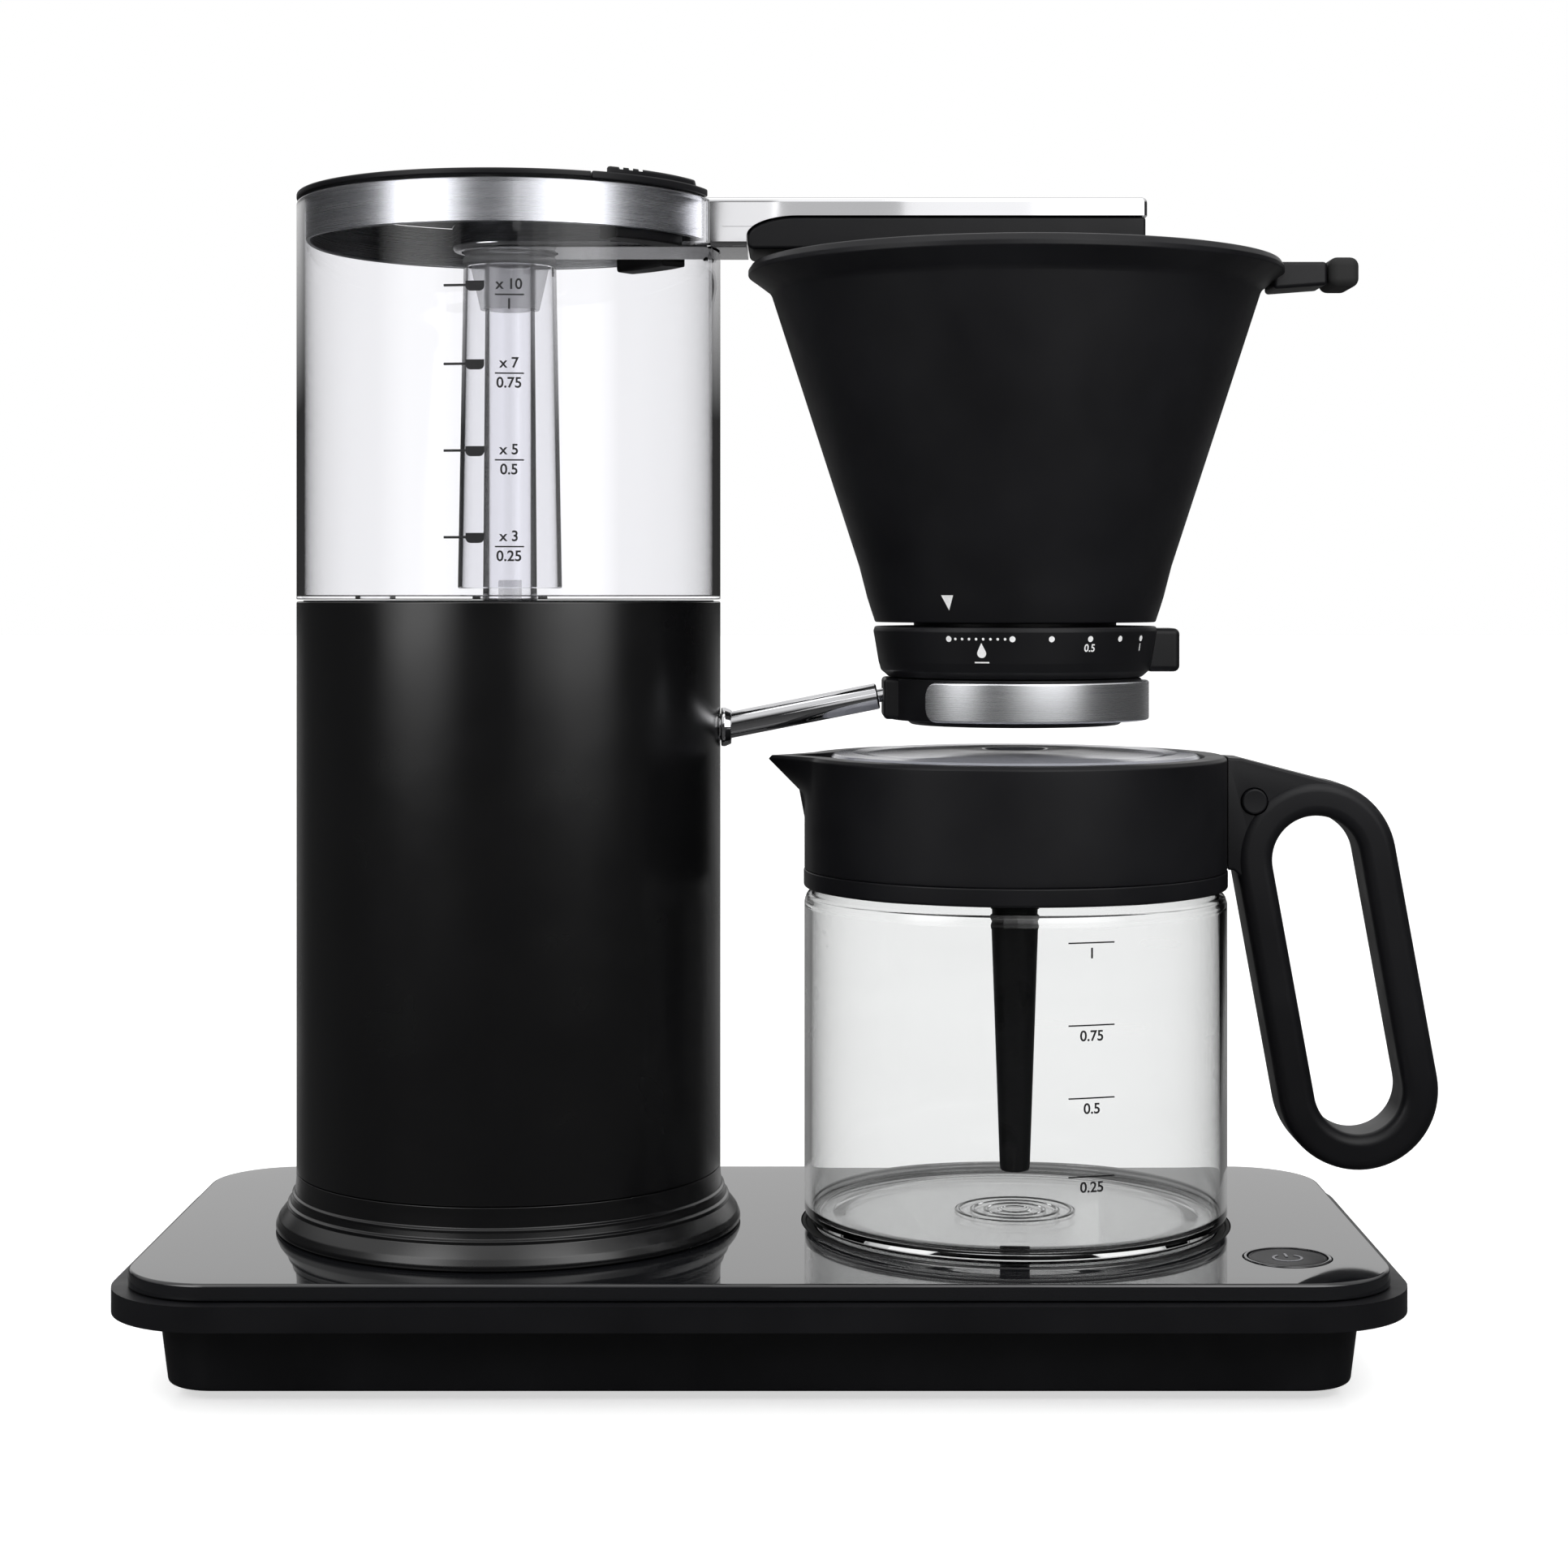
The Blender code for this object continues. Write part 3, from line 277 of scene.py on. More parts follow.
class Nodes:
    """Short hand for building one material's node tree."""

    def __init__(self, name, colour, roughness, metallic=0.0):
        self.material = bpy.data.materials.new(name)
        self.material.use_nodes = True
        self.tree = self.material.node_tree
        self.shader = self.tree.nodes["Principled BSDF"]
        self.set("Base Color", (*colour, 1.0))
        self.set("Roughness", roughness)
        self.set("Metallic", metallic)
        self.coordinates = self.tree.nodes.new("ShaderNodeTexCoord").outputs["Object"]

    def set(self, socket, value):
        self.shader.inputs[socket].default_value = value

    def link(self, output, socket):
        self.tree.links.new(output, socket)

    def noise(self, scale, detail=3.0, stretch=(1.0, 1.0, 1.0), roughness=0.5):
        mapping = self.tree.nodes.new("ShaderNodeMapping")
        mapping.inputs["Scale"].default_value = stretch
        texture = self.tree.nodes.new("ShaderNodeTexNoise")
        texture.inputs["Scale"].default_value = scale
        texture.inputs["Detail"].default_value = detail
        texture.inputs["Roughness"].default_value = roughness
        self.link(self.coordinates, mapping.inputs["Vector"])
        self.link(mapping.outputs["Vector"], texture.inputs["Vector"])
        return texture.outputs["Fac"]

    def spread(self, output, low, high):
        """Bring a 0.3 to 0.7 noise to a range."""
        remap = self.tree.nodes.new("ShaderNodeMapRange")
        for socket, value in (("From Min", 0.3), ("From Max", 0.7), ("To Min", low), ("To Max", high)):
            remap.inputs[socket].default_value = value
        self.link(output, remap.inputs["Value"])
        return remap.outputs["Result"]

    def vary_roughness(self, output, low, high):
        self.link(self.spread(output, low, high), self.shader.inputs["Roughness"])

    def vary_colour(self, output, low, high):
        ramp = self.tree.nodes.new("ShaderNodeValToRGB")
        ramp.color_ramp.elements[0].position, ramp.color_ramp.elements[0].color = 0.3, (*low, 1.0)
        ramp.color_ramp.elements[1].position, ramp.color_ramp.elements[1].color = 0.7, (*high, 1.0)
        self.link(output, ramp.inputs["Fac"])
        self.link(ramp.outputs["Color"], self.shader.inputs["Base Color"])

    def bump(self, output, strength, distance):
        bump = self.tree.nodes.new("ShaderNodeBump")
        bump.inputs["Strength"].default_value = strength
        bump.inputs["Distance"].default_value = distance
        self.link(output, bump.inputs["Height"])
        self.link(bump.outputs["Normal"], self.shader.inputs["Normal"])


def moulded(name, colour, roughness, grain, depth=0.00002):
    """Moulded plastic: fine spark-eroded grain, faint cloudiness in tone and gloss."""
    nodes = Nodes(name, colour, roughness)
    nodes.set("Specular IOR Level", 0.26)
    lighter = tuple(min(1.0, channel * 1.35 + 0.0015) for channel in colour)
    nodes.vary_colour(nodes.noise(35, 2.0), colour, lighter)
    nodes.vary_roughness(nodes.noise(60, 4.0), roughness - 0.05, roughness + 0.05)
    nodes.bump(nodes.noise(grain, 2.0), 0.35, depth)
    return nodes.material


def painted(name, colour, roughness):
    """Satin paint on sheet: soft sheen, faint orange peel and a thin clear coat."""
    nodes = Nodes(name, colour, roughness, 0.0)
    nodes.set("Specular IOR Level", 0.62)
    nodes.set("Coat Weight", 0.05)
    nodes.set("Coat Roughness", 0.20)
    nodes.vary_colour(nodes.noise(20, 2.0), colour, tuple(channel * 1.25 for channel in colour))
    nodes.vary_roughness(nodes.noise(45, 3.0), roughness - 0.03, roughness + 0.03)
    nodes.bump(nodes.noise(900, 2.0), 0.10, 0.00002)
    return nodes.material


def glossy(name, colour, roughness):
    """Polished black plate: near mirror, with the faintest haze from wiping."""
    nodes = Nodes(name, colour, roughness)
    nodes.set("Specular IOR Level", 0.9)
    nodes.vary_colour(nodes.noise(18, 2.0), colour, tuple(channel * 1.2 for channel in colour))
    nodes.vary_roughness(nodes.noise(28, 4.0, (1.0, 2.5, 1.0)), roughness, roughness + 0.03)
    return nodes.material


def brushed(name, colour, roughness, stretch):
    """Brushed steel: fine lines along one direction in tone, gloss and relief."""
    nodes = Nodes(name, colour, roughness, 1.0)
    nodes.set("Anisotropic", 0.55)
    lines = nodes.noise(1.0, 4.0, stretch, 0.7)
    nodes.vary_colour(lines, tuple(channel * 0.95 for channel in colour), colour)
    nodes.vary_roughness(lines, roughness - 0.02, roughness + 0.02)
    nodes.bump(lines, 0.03, 0.000004)
    return nodes.material


def polished(name, colour, roughness):
    """Chrome: mirror with a trace of haze."""
    nodes = Nodes(name, colour, roughness, 1.0)
    nodes.vary_colour(nodes.noise(30, 2.0), tuple(channel * 0.96 for channel in colour), colour)
    nodes.vary_roughness(nodes.noise(50, 3.0), roughness, roughness + 0.03)
    return nodes.material


def clear(name, colour, roughness, ior, ripple):
    """Clear glass or plastic: refracts, with very faint ripples left by its making."""
    nodes = Nodes(name, colour, roughness)
    nodes.set("Transmission Weight", 1.0)
    nodes.set("IOR", ior)
    nodes.vary_roughness(nodes.noise(40, 3.0), 0.0, roughness + 0.01)
    nodes.bump(nodes.noise(16, 2.0, (1.0, 1.0, 0.4)), ripple, 0.0004)
    return nodes.material


def milky(name, colour, roughness, transmission, veil, ior):
    """Translucent silicone or plastic; a veil below 1 shows what lies behind."""
    nodes = Nodes(name, colour, roughness)
    nodes.set("Transmission Weight", transmission)
    nodes.set("Alpha", veil)
    nodes.set("IOR", ior)
    nodes.vary_colour(nodes.noise(60, 2.0), tuple(channel * 0.93 for channel in colour), colour)
    nodes.vary_roughness(nodes.noise(80, 3.0), roughness - 0.04, roughness + 0.05)
    return nodes.material


def ink(name, colour):
    nodes = Nodes(name, colour, 0.5)
    nodes.vary_colour(nodes.noise(900, 2.0), tuple(channel * 0.85 for channel in colour), colour)
    nodes.vary_roughness(nodes.noise(300, 2.0), 0.40, 0.60)
    return nodes.material


BLACK = (0.0048, 0.0048, 0.0059)
LOOKS = {
    "housing_plastic": moulded("moulded black", BLACK, 0.42, 2600),
    "top_plate_gloss": glossy("gloss black", (0.0060, 0.0062, 0.0072), 0.025),
    "tower_paint": painted("satin black paint", (0.0025, 0.0025, 0.0028), 0.25),
    "clear_tank": clear("clear tank plastic", (0.972, 0.972, 0.988), 0.0, 1.32, 0.01),
    "jug_glass": clear("clear glass", (0.985, 0.990, 0.989), 0.0, 1.44, 0.05),
    "brushed_steel": brushed("brushed steel", (0.90, 0.91, 0.94), 0.27, (6, 6, 4200)),
    "steel": brushed("plain steel", (0.46, 0.46, 0.47), 0.36, (300, 300, 900)),
    "chrome": polished("chrome", (0.82, 0.82, 0.84), 0.035),
    "aluminium": brushed("cast aluminium", (0.58, 0.58, 0.60), 0.50, (700, 700, 700)),
    "rubber": moulded("black rubber", (0.016, 0.016, 0.016), 0.72, 1800, 0.00004),
    "silicone": milky("milky silicone", (0.97, 0.97, 0.98), 0.34, 0.0, 0.30, 1.41),
    "lid_plastic": milky("smoke plastic", (0.55, 0.56, 0.62), 0.10, 0.45, 1.0, 1.46),
    "circuit_board": moulded("circuit board", (0.02, 0.14, 0.06), 0.45, 700, 0.00003),
    "black_ink": ink("black print", (0.010, 0.010, 0.012)),
    "white_ink": ink("white print", (0.97, 0.97, 0.97)),
    "grey_ink": ink("grey print", (0.30, 0.30, 0.32)),
}


# Base

def make_base():
    low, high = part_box("base_housing")
    lip_low = low.z + 0.0200
    profile = [(0.0155, low.z), (0.0130, lip_low), (0.0, lip_low), (0.0, high.z), (0.0100, high.z),
               (0.0160, high.z - 0.0025), (0.0190, low.z)]
    radii = [0.0012, 0.0008, 0.0022, 0.0022, 0.0005, 0.0008, 0.0004]
    sections = [rounded_rectangle(inset, height) for inset, height in filleted(profile, radii, 4)]
    housing = loft("housing", sections, closed=True)
    gland = middle("cord_gland")
    cut(housing, rod("tool", (gland.x, 0.060, gland.z), (gland.x, 0.080, gland.z), plug(0.0058, 0.02)))
    stands_for(housing, "root", "housing_plastic", "base_housing")

    plate_low, plate_high = span_z("base_top_plate")
    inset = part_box("base_top_plate")[0].x - low.x
    rim = filleted([(inset + 0.010, plate_low), (inset, plate_low), (inset, plate_high),
                    (inset + 0.010, plate_high)], [0, 0.0006, 0.0011, 0], 5)
    plate = loft("top_plate", [rounded_rectangle(edge, height) for edge, height in rim])
    ring_r = (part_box("hot_plate_gasket")[1].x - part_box("hot_plate_gasket")[0].x) / 2 + 0.0003
    bezel_r = (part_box("button_bezel")[1].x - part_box("button_bezel")[0].x) / 2 + 0.0003
    cut(plate, round_tool(TANK_AT, 0.050, 0.02, 0.05, FINE), round_tool(JUG_AT, ring_r, 0.02, 0.05, FINE),
        round_tool(BUTTON_AT, bezel_r, 0.02, 0.05))
    stands_for(plate, "root", "top_plate_gloss", "base_top_plate")

    for node in ("foot_front_left", "foot_front_right", "foot_rear_left", "foot_rear_right"):
        foot_low, foot_high = span_z(node)
        foot = turned(f"{node}_pad", filleted([
            (0, foot_low), (0.0062, foot_low), (0.0064, foot_low + 0.0004), (0.0070, foot_low + 0.0004),
            (0.0072, foot_low), (0.0084, foot_low), (0.0090, foot_low + 0.0010), (0.0090, foot_high),
            (0, foot_high)], 0.0002), tuple(middle(node)[:2]), SMALL)
        stands_for(foot, "root", "rubber", node)


def make_hot_plate():
    low, high = span_z("hot_plate")
    plate_r = (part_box("hot_plate")[1].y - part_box("hot_plate")[0].y) / 2
    plate = turned("warm_plate", filleted([
        (0, low), (plate_r, low), (plate_r, high), (0.0360, high), (0.0357, high - 0.00012),
        (0.0353, high - 0.00012), (0.0350, high), (0, high)], [0, 0.0003, 0.0006, 0, 0, 0, 0, 0]), JUG_AT)
    stands_for(plate, "root", "top_plate_gloss", "hot_plate")
    low, high = span_z("hot_plate_gasket")
    ring_r = (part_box("hot_plate_gasket")[1].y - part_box("hot_plate_gasket")[0].y) / 2
    ring = turned("plate_ring", filleted([
        (0.0570, low), (ring_r, low), (ring_r, high), (0.0622, high), (0.0618, high - 0.0005),
        (0.0598, high - 0.0005), (0.0598, low + 0.0014), (0.0570, low + 0.0014)], 0.0003, 4), JUG_AT)
    stands_for(ring, "root", "rubber", "hot_plate_gasket")


def make_button():
    low, high = span_z("button_bezel")
    bezel_r, bore_r = 0.0123, 0.0113
    bezel = turned("bezel", filleted([
        (0.0030, low), (bezel_r, low), (bezel_r, high), (bore_r, high), (bore_r, low + 0.002),
        (0.0030, low + 0.002)], [0, 0.0003, 0.0004, 0.0002, 0, 0], 4), BUTTON_AT, 96)
    stands_for(bezel, "root", "top_plate_gloss", "button_bezel")
    cap_r = 0.0110
    low, high = span_z("power_button")
    dish = [(cap_r * part, high - 0.0004 + 0.0004 * part ** 2) for part in (0.86, 0.6, 0.3)]
    cap = turned("button_cap", filleted([
        (0, low), (0.0025, low), (0.0025, low + 0.009), (cap_r, low + 0.009), (cap_r, high - 0.0002),
        (cap_r - 0.0007, high)], [0, 0, 0, 0.0003, 0.0003, 0.0003]) + dish + [(0, high - 0.0004)],
        BUTTON_AT, 96)
    stands_for(cap, "power_button", "housing_plastic", "power_button")
    mark_z = high - 0.00025
    ring = turned("power_mark_ring", band(0.0036, 0.0043, mark_z - PRINT, mark_z + PRINT),
                  BUTTON_AT, 48, math.radians(290), math.radians(125))
    bar = block("power_mark_bar", (BUTTON_AT[0] - 0.00035, BUTTON_AT[1] + 0.0012, mark_z - PRINT),
                (BUTTON_AT[0] + 0.00035, BUTTON_AT[1] + 0.0052, mark_z + PRINT))
    for mark in (ring, bar):
        stands_for(mark, "power_button", "housing_plastic", look="grey_ink")


def make_button_spring():
    """Wound wire under the cap, built at one length with a mesh of its own; the real spring shortens as the
    button goes down.
    """
    low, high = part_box("button_spring")
    wire, rounds, steps = 0.0003, 6, 24
    centre, height = (low + high) / 2, high.z - low.z
    coil_r = (high.x - low.x) / 2 - wire
    rise = (height - 2 * wire) / (rounds * steps)
    sections = []
    for step in range(rounds * steps + 1):
        turn = math.tau * step / steps
        outward = Vector((math.cos(turn), math.sin(turn), 0))
        point = Vector((centre.x, centre.y, low.z + wire + rise * step)) + coil_r * outward
        sections.append([point + wire * (math.cos(side) * outward + math.sin(side) * Vector((0, 0, 1)))
                         for side in (math.tau * index / 8 for index in range(8))])
    spring = loft("wound_spring", sections)
    stands_for(spring, "root", "steel", "button_spring")
    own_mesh(spring)


def make_gland():
    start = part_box("cord_gland")[0].y
    gland = middle("cord_gland")
    flange = 0.0069
    ribs = []
    for index in range(4):
        near = 0.0104 + 0.0019 * index
        outer = 0.0059 - 0.0003 * index
        ribs += [(outer, near), (outer - 0.0006, near + 0.0005), (outer - 0.0006, near + 0.0013)]
    outline = [(0.0032, 0), (0.0055, 0), (0.0055, flange), (0.0085, flange), (0.0085, 0.0092),
               (0.0062, 0.0092), *ribs, (0.0046, 0.0180), (0.0032, 0.0180)]
    bush = rod("cord_bush", (gland.x, start, gland.z), (gland.x, start + 1, gland.z),
               filleted(outline, 0.0002, 2))
    stands_for(bush, "root", "rubber", "cord_gland")


# Tower and tank

def make_tower():
    low, high = span_z("tower_skirt")
    skirt = turned("skirt", filleted([
        (0.0600, low), (0.0685, low), (0.0684, low + 0.0015), (0.0676, low + 0.0034), (0.0662, low + 0.0052),
        (0.0650, low + 0.0066), (0.0650, low + 0.0076), (0.0641, low + 0.0080), (0.0637, low + 0.0096),
        (0.0637, low + 0.0104), (0.0629, low + 0.0108), (0.0626, low + 0.0135), (R, low + 0.0150), (R, high),
        (0.0600, high)],
        [0, 0.0008, 0.002, 0.002, 0.002, 0.0004, 0.0003, 0.0004, 0.0004, 0.0003, 0.0004, 0.001,
         0.001, 0.0002, 0]), TANK_AT)
    stands_for(skirt, "root", "tower_paint", "tower_skirt")
    low, high = span_z("tower_shell")
    shell = turned("tower", filleted(band(0.0610, R, low, high), [0, 0.0002, 0.0005, 0]), TANK_AT)
    start, direction = rod_line()[:2]
    cut(shell, rod("tool", start, start + direction, plug(0.0042, 0.012)))
    stands_for(shell, "root", "tower_paint", "tower_shell")


def rod_line():
    """Start, direction and length of the holder's rod."""
    start, end = Vector((TANK_X + 0.0575, 0, 0.1804)), Vector((JUG_X - 0.0404, 0, 0.1907))
    return start, (end - start).normalized(), (end - start).length


def make_tank():
    low, high = span_z("water_tank")
    inner = 0.0602
    tank = turned("tank", filleted([
        (0.0084, low), (R, low), (R, high), (inner, high), (inner, low + 0.0009), (0.0084, low + 0.0009)],
        [0, 0.0003, 0.0009, 0.0009, 0.0004, 0]), TANK_AT)
    notch = 0.0175
    cut(tank, block("tool", (TANK_X + 0.040, -notch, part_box("outlet_arm")[0].z - 0.0005),
                    (TANK_X + 0.080, notch, 0.36), 0.002, 3),
        round_tool((TANK_X - 0.030, 0), 0.0045, 0.20, 0.23))
    stands_for(tank, "root", "clear_tank", "water_tank")

    low, high = span_z("riser_outer_tube")
    outer = turned("riser_outer", filleted([
        (0.0142, low), (0.0154, low), (0.0137, high), (0.0125, high)], 0.0004), TANK_AT, 96)
    stands_for(outer, "root", "clear_tank", "riser_outer_tube")
    low, high = span_z("riser_inner_tube")
    inner_tube = turned("riser_inner", filleted([
        (0.0062, low), (0.0080, low), (0.0072, high), (0.0062, high)], 0.0003), TANK_AT, 96)
    stands_for(inner_tube, "root", "clear_tank", "riser_inner_tube")
    low, high = span_z("riser_cap")
    cap = turned("riser_top", filleted([
        (0.0077, low), (0.0087, low), (0.0117, low + 0.0131), (0.0132, low + 0.0131), (0.0139, low + 0.0136),
        (0.0139, low + 0.0152), (0.0134, low + 0.0156), (0.0134, low + 0.0164), (0.0139, low + 0.0168),
        (0.0139, high), (0.0077, high)], 0.0003), TANK_AT, 96)
    stands_for(cap, "outlet_unit", "silicone", "riser_cap")


def make_collar():
    low, high = span_z("tank_collar")
    collar = turned("steel_collar", filleted(band(0.0586, 0.0598, low, high), 0.0004), TANK_AT)
    notch = 0.0173
    cut(collar, block("tool", (TANK_X + 0.040, -notch, 0.30), (TANK_X + 0.080, notch, 0.36)))
    stands_for(collar, "outlet_unit", "brushed_steel", "tank_collar")


def make_arm_covers():
    """Covers beside the arm: a ribbed top, a lower step at the rim and a leg inside the collar."""
    low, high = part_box("arm_bracket_front")[1].z - 0.0046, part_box("arm_bracket_front")[1].z
    edge_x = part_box("arm_bracket_front")[0].x - TANK_X
    inner_y, outer_r = 0.0176, 0.0620
    leg_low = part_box("arm_bracket_front")[0].z
    for side, node in ((-1, "arm_bracket_front"), (1, "arm_bracket_rear")):
        def segment(name, from_x, radius, bottom, top, bevel, to_x=None):
            wide = math.acos(from_x / radius)
            narrow = math.acos(to_x / radius) if to_x else math.asin(inner_y / radius)
            outline = [(TANK_X + from_x, side * inner_y)]
            for step in range(25):
                turn = wide + (narrow - wide) * step / 24
                outline.append((TANK_X + radius * math.cos(turn), side * radius * math.sin(turn)))
            if to_x:
                outline.append((TANK_X + to_x, side * inner_y))
            piece = loft(name, [[(x, y, z) for x, y in outline] for z in (bottom, top)])
            soften(piece, bevel, 3)
            return settle(piece)
        cover = segment(f"{node}_cover", edge_x, outer_r, low, low + 0.0024, 0.0006)
        upper = segment("tool", edge_x + 0.0040, outer_r - 0.0008, low + 0.0012, high - 0.0004,
                        0.0010, 0.0560)
        leg_span, leg_start = math.radians(26), math.radians(28)
        leg = turned("tool", filleted(band(0.0500, 0.0583, leg_low, low + 0.001), [0.001, 0.0006, 0, 0]),
                     TANK_AT, 24, leg_span, leg_start if side > 0 else -leg_start - leg_span)
        fuse(cover, upper, leg)
        grooves = [block("tool", (TANK_X + edge_x + 0.0072 + 0.0026 * index,
                                  min(side * 0.0205, side * 0.070), high - 0.0011),
                         (TANK_X + edge_x + 0.0084 + 0.0026 * index,
                          max(side * 0.0205, side * 0.070), high + 0.001)) for index in range(3)]
        hinge = middle("lid_hinge_pin")
        cut(cover, *grooves, rod("tool", (hinge.x, -0.0262, hinge.z), (hinge.x, 0.0262, hinge.z),
                                 plug(0.0013, 0.0524), 24))
        stands_for(cover, "outlet_unit", "housing_plastic", node)


def make_lid():
    low, high = 0.3363, 0.3386
    lid_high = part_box("tank_lid")[1].z
    hinge = middle("lid_hinge_pin")
    lid = turned("lid", filleted([
        (0, low), (0.0600, low), (R, low + 0.0005), (R, high - 0.0003), (0.0612, high), (0.0560, high),
        (0.0552, high - 0.0004), (0, high - 0.0004)],
        [0, 0, 0.0004, 0.0006, 0.0006, 0.0002, 0.0002, 0]), TANK_AT)
    knuckle_half = 0.0168
    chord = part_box("arm_bracket_front")[0].x - 0.0003
    arm_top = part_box("outlet_arm")[1].z
    cut(lid,
        block("tool", (hinge.x, -0.070, 0.33), (TANK_X + 0.080, 0.070, 0.35)),
        block("tool", (chord, -0.080, 0.33), (TANK_X + 0.070, -knuckle_half, 0.35)),
        block("tool", (chord, knuckle_half, 0.33), (TANK_X + 0.070, 0.080, 0.35)),
        block("tool", (TANK_X - 0.018, -0.0175, 0.33), (TANK_X + 0.080, 0.0175, arm_top + 0.0003)))
    knuckle_r = lid_high - hinge.z
    fuse(lid, rod("tool", (hinge.x, -knuckle_half, hinge.z), (hinge.x, knuckle_half, hinge.z),
                  plug(knuckle_r, 2 * knuckle_half), 48))
    cut(lid, rod("tool", (hinge.x, -0.030, hinge.z), (hinge.x, 0.030, hinge.z), plug(0.0013, 0.060), 24))
    stands_for(lid, "tank_lid", "housing_plastic", "tank_lid")


def make_arm():
    low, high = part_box("outlet_arm")
    half = high.y
    outline = arc((TANK_X, 0), half, 90, 270, 32) + [(high.x, -half), (high.x, half)]
    arm = loft("chrome_arm", [[(x, y, z) for x, y in outline] for z in (low.z, high.z)])
    soften(arm, 0.0016, 5)
    settle(arm)
    head_low, head_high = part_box("spray_head")
    gap = 0.0003
    left, nose, shoulder = head_low.x - 0.0024, 0.0150, head_low.z + 0.0035
    curve = [(left + nose * (1 - math.cos(turn)), shoulder + (head_high.z - shoulder) * math.sin(turn))
             for turn in (math.radians(90) * step / 16 for step in range(17))]
    pocket = [(left - gap, 0.31), *[(x - gap, z + gap) for x, z in curve],
              (high.x + 0.010, head_high.z + gap), (high.x + 0.010, 0.31)]
    cut(arm, round_tool(TANK_AT, 0.0143, 0.31, 0.3253),
        loft("tool", [[(x, y, z) for x, z in pocket] for y in (-0.030, 0.030)]),
        block("tool", (TANK_X + R + 0.0010, -0.030, low.z + 0.0052), (head_low.x, -half + 0.0004,
                                                                       low.z + 0.0060)))
    stands_for(arm, "outlet_unit", "chrome", "outlet_arm")
    side_outline = filleted([(left, head_low.z), (head_high.x, head_low.z), (head_high.x, head_high.z),
                             *reversed(curve)], [0.0020, 0.0010, 0.0010] + [0] * len(curve), 8)
    head = loft("spray_insert", [[(x, y, z) for x, z in side_outline] for y in (head_low.y, head_high.y)])
    soften(head, 0.0012, 4, 50)
    settle(head)
    turns = [index * math.tau / 6 for index in range(6)]
    cut(head, *[round_tool((JUG_X + 0.008 * math.cos(turn), 0.008 * math.sin(turn)), 0.0012, 0.31, 0.34, 24)
                for turn in turns])
    stands_for(head, "outlet_unit", "housing_plastic", "spray_head")


# Holder and funnel

def make_holder():
    start, direction, length = rod_line()
    stud = 0.0020
    bar = rod("chrome_rod", start, start + direction, filleted([
        (0, -0.004), (stud, -0.004), (stud, 0.0015), (0.0039, 0.0015), (0.0039, length - 0.0003),
        (stud, length - 0.0003), (stud, length + 0.006), (0, length + 0.006)],
        [0, 0.0003, 0, 0.0003, 0.0006, 0, 0.0003, 0]))
    stands_for(bar, "root", "chrome", "holder_rod")
    trim = middle("rod_escutcheon")
    trim_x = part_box("rod_escutcheon")[0].x
    rosette = rod("rod_rosette", (trim_x, 0, trim.z), (trim_x + 1, 0, trim.z), filleted([
        (0.0046, 0), (0.0058, 0), (0.0058, 0.0012), (0.0050, 0.0030), (0.0046, 0.0030)], 0.0004))
    stands_for(rosette, "root", "chrome", "rod_escutcheon")
    low, high = span_z("holder_carrier")
    carrier = turned("carrier", filleted(band(0.0323, 0.0373, low, high), 0.0004), JUG_AT)
    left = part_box("holder_carrier")[0].x
    boss = block("tool", (left, -0.0130, low + 0.0003), (JUG_X - 0.0340, 0.0130, high), 0.0012, 3)
    fuse(carrier, settle(boss))
    cut(carrier, rod("tool", start, start + direction, band(0, 0.0023, length - 0.002, length + 0.012), 32))
    stands_for(carrier, "root", "housing_plastic", "holder_carrier")
    low, high = span_z("holder_ring")
    opening, corner = math.radians(45.5), 0.0036
    outer = 0.0396
    ring = turned("steel_band", filleted(band(0.0376, outer, low, high), [0.0002, 0.0007, 0.0007, 0.0002], 4),
                  JUG_AT, 400, math.tau - 2 * opening, opening - math.pi)
    half = (high - low) / 2
    for vertex in ring.data.vertices:
        from_end = (math.pi - opening - abs(math.atan2(vertex.co.y, vertex.co.x - JUG_X))) * outer
        if from_end < corner:
            lost = corner - math.sqrt(max(0.0, corner ** 2 - (corner - from_end) ** 2))
            vertex.co.z = (high + low) / 2 + (vertex.co.z - (high + low) / 2) * (half - lost) / half
    stands_for(ring, "root", "brushed_steel", "holder_ring")


CONE = [(0.0415, 0.2126), (0.0428, 0.2165), (0.0439, 0.2200), (0.0462, 0.2290), (0.0725, 0.3103)]


def cone_radius(height):
    """Outer radius of the funnel at a height."""
    for (low_r, low_z), (high_r, high_z) in zip(CONE, CONE[1:]):
        if height <= high_z:
            return low_r + (high_r - low_r) * (height - low_z) / (high_z - low_z)
    return CONE[-1][0]


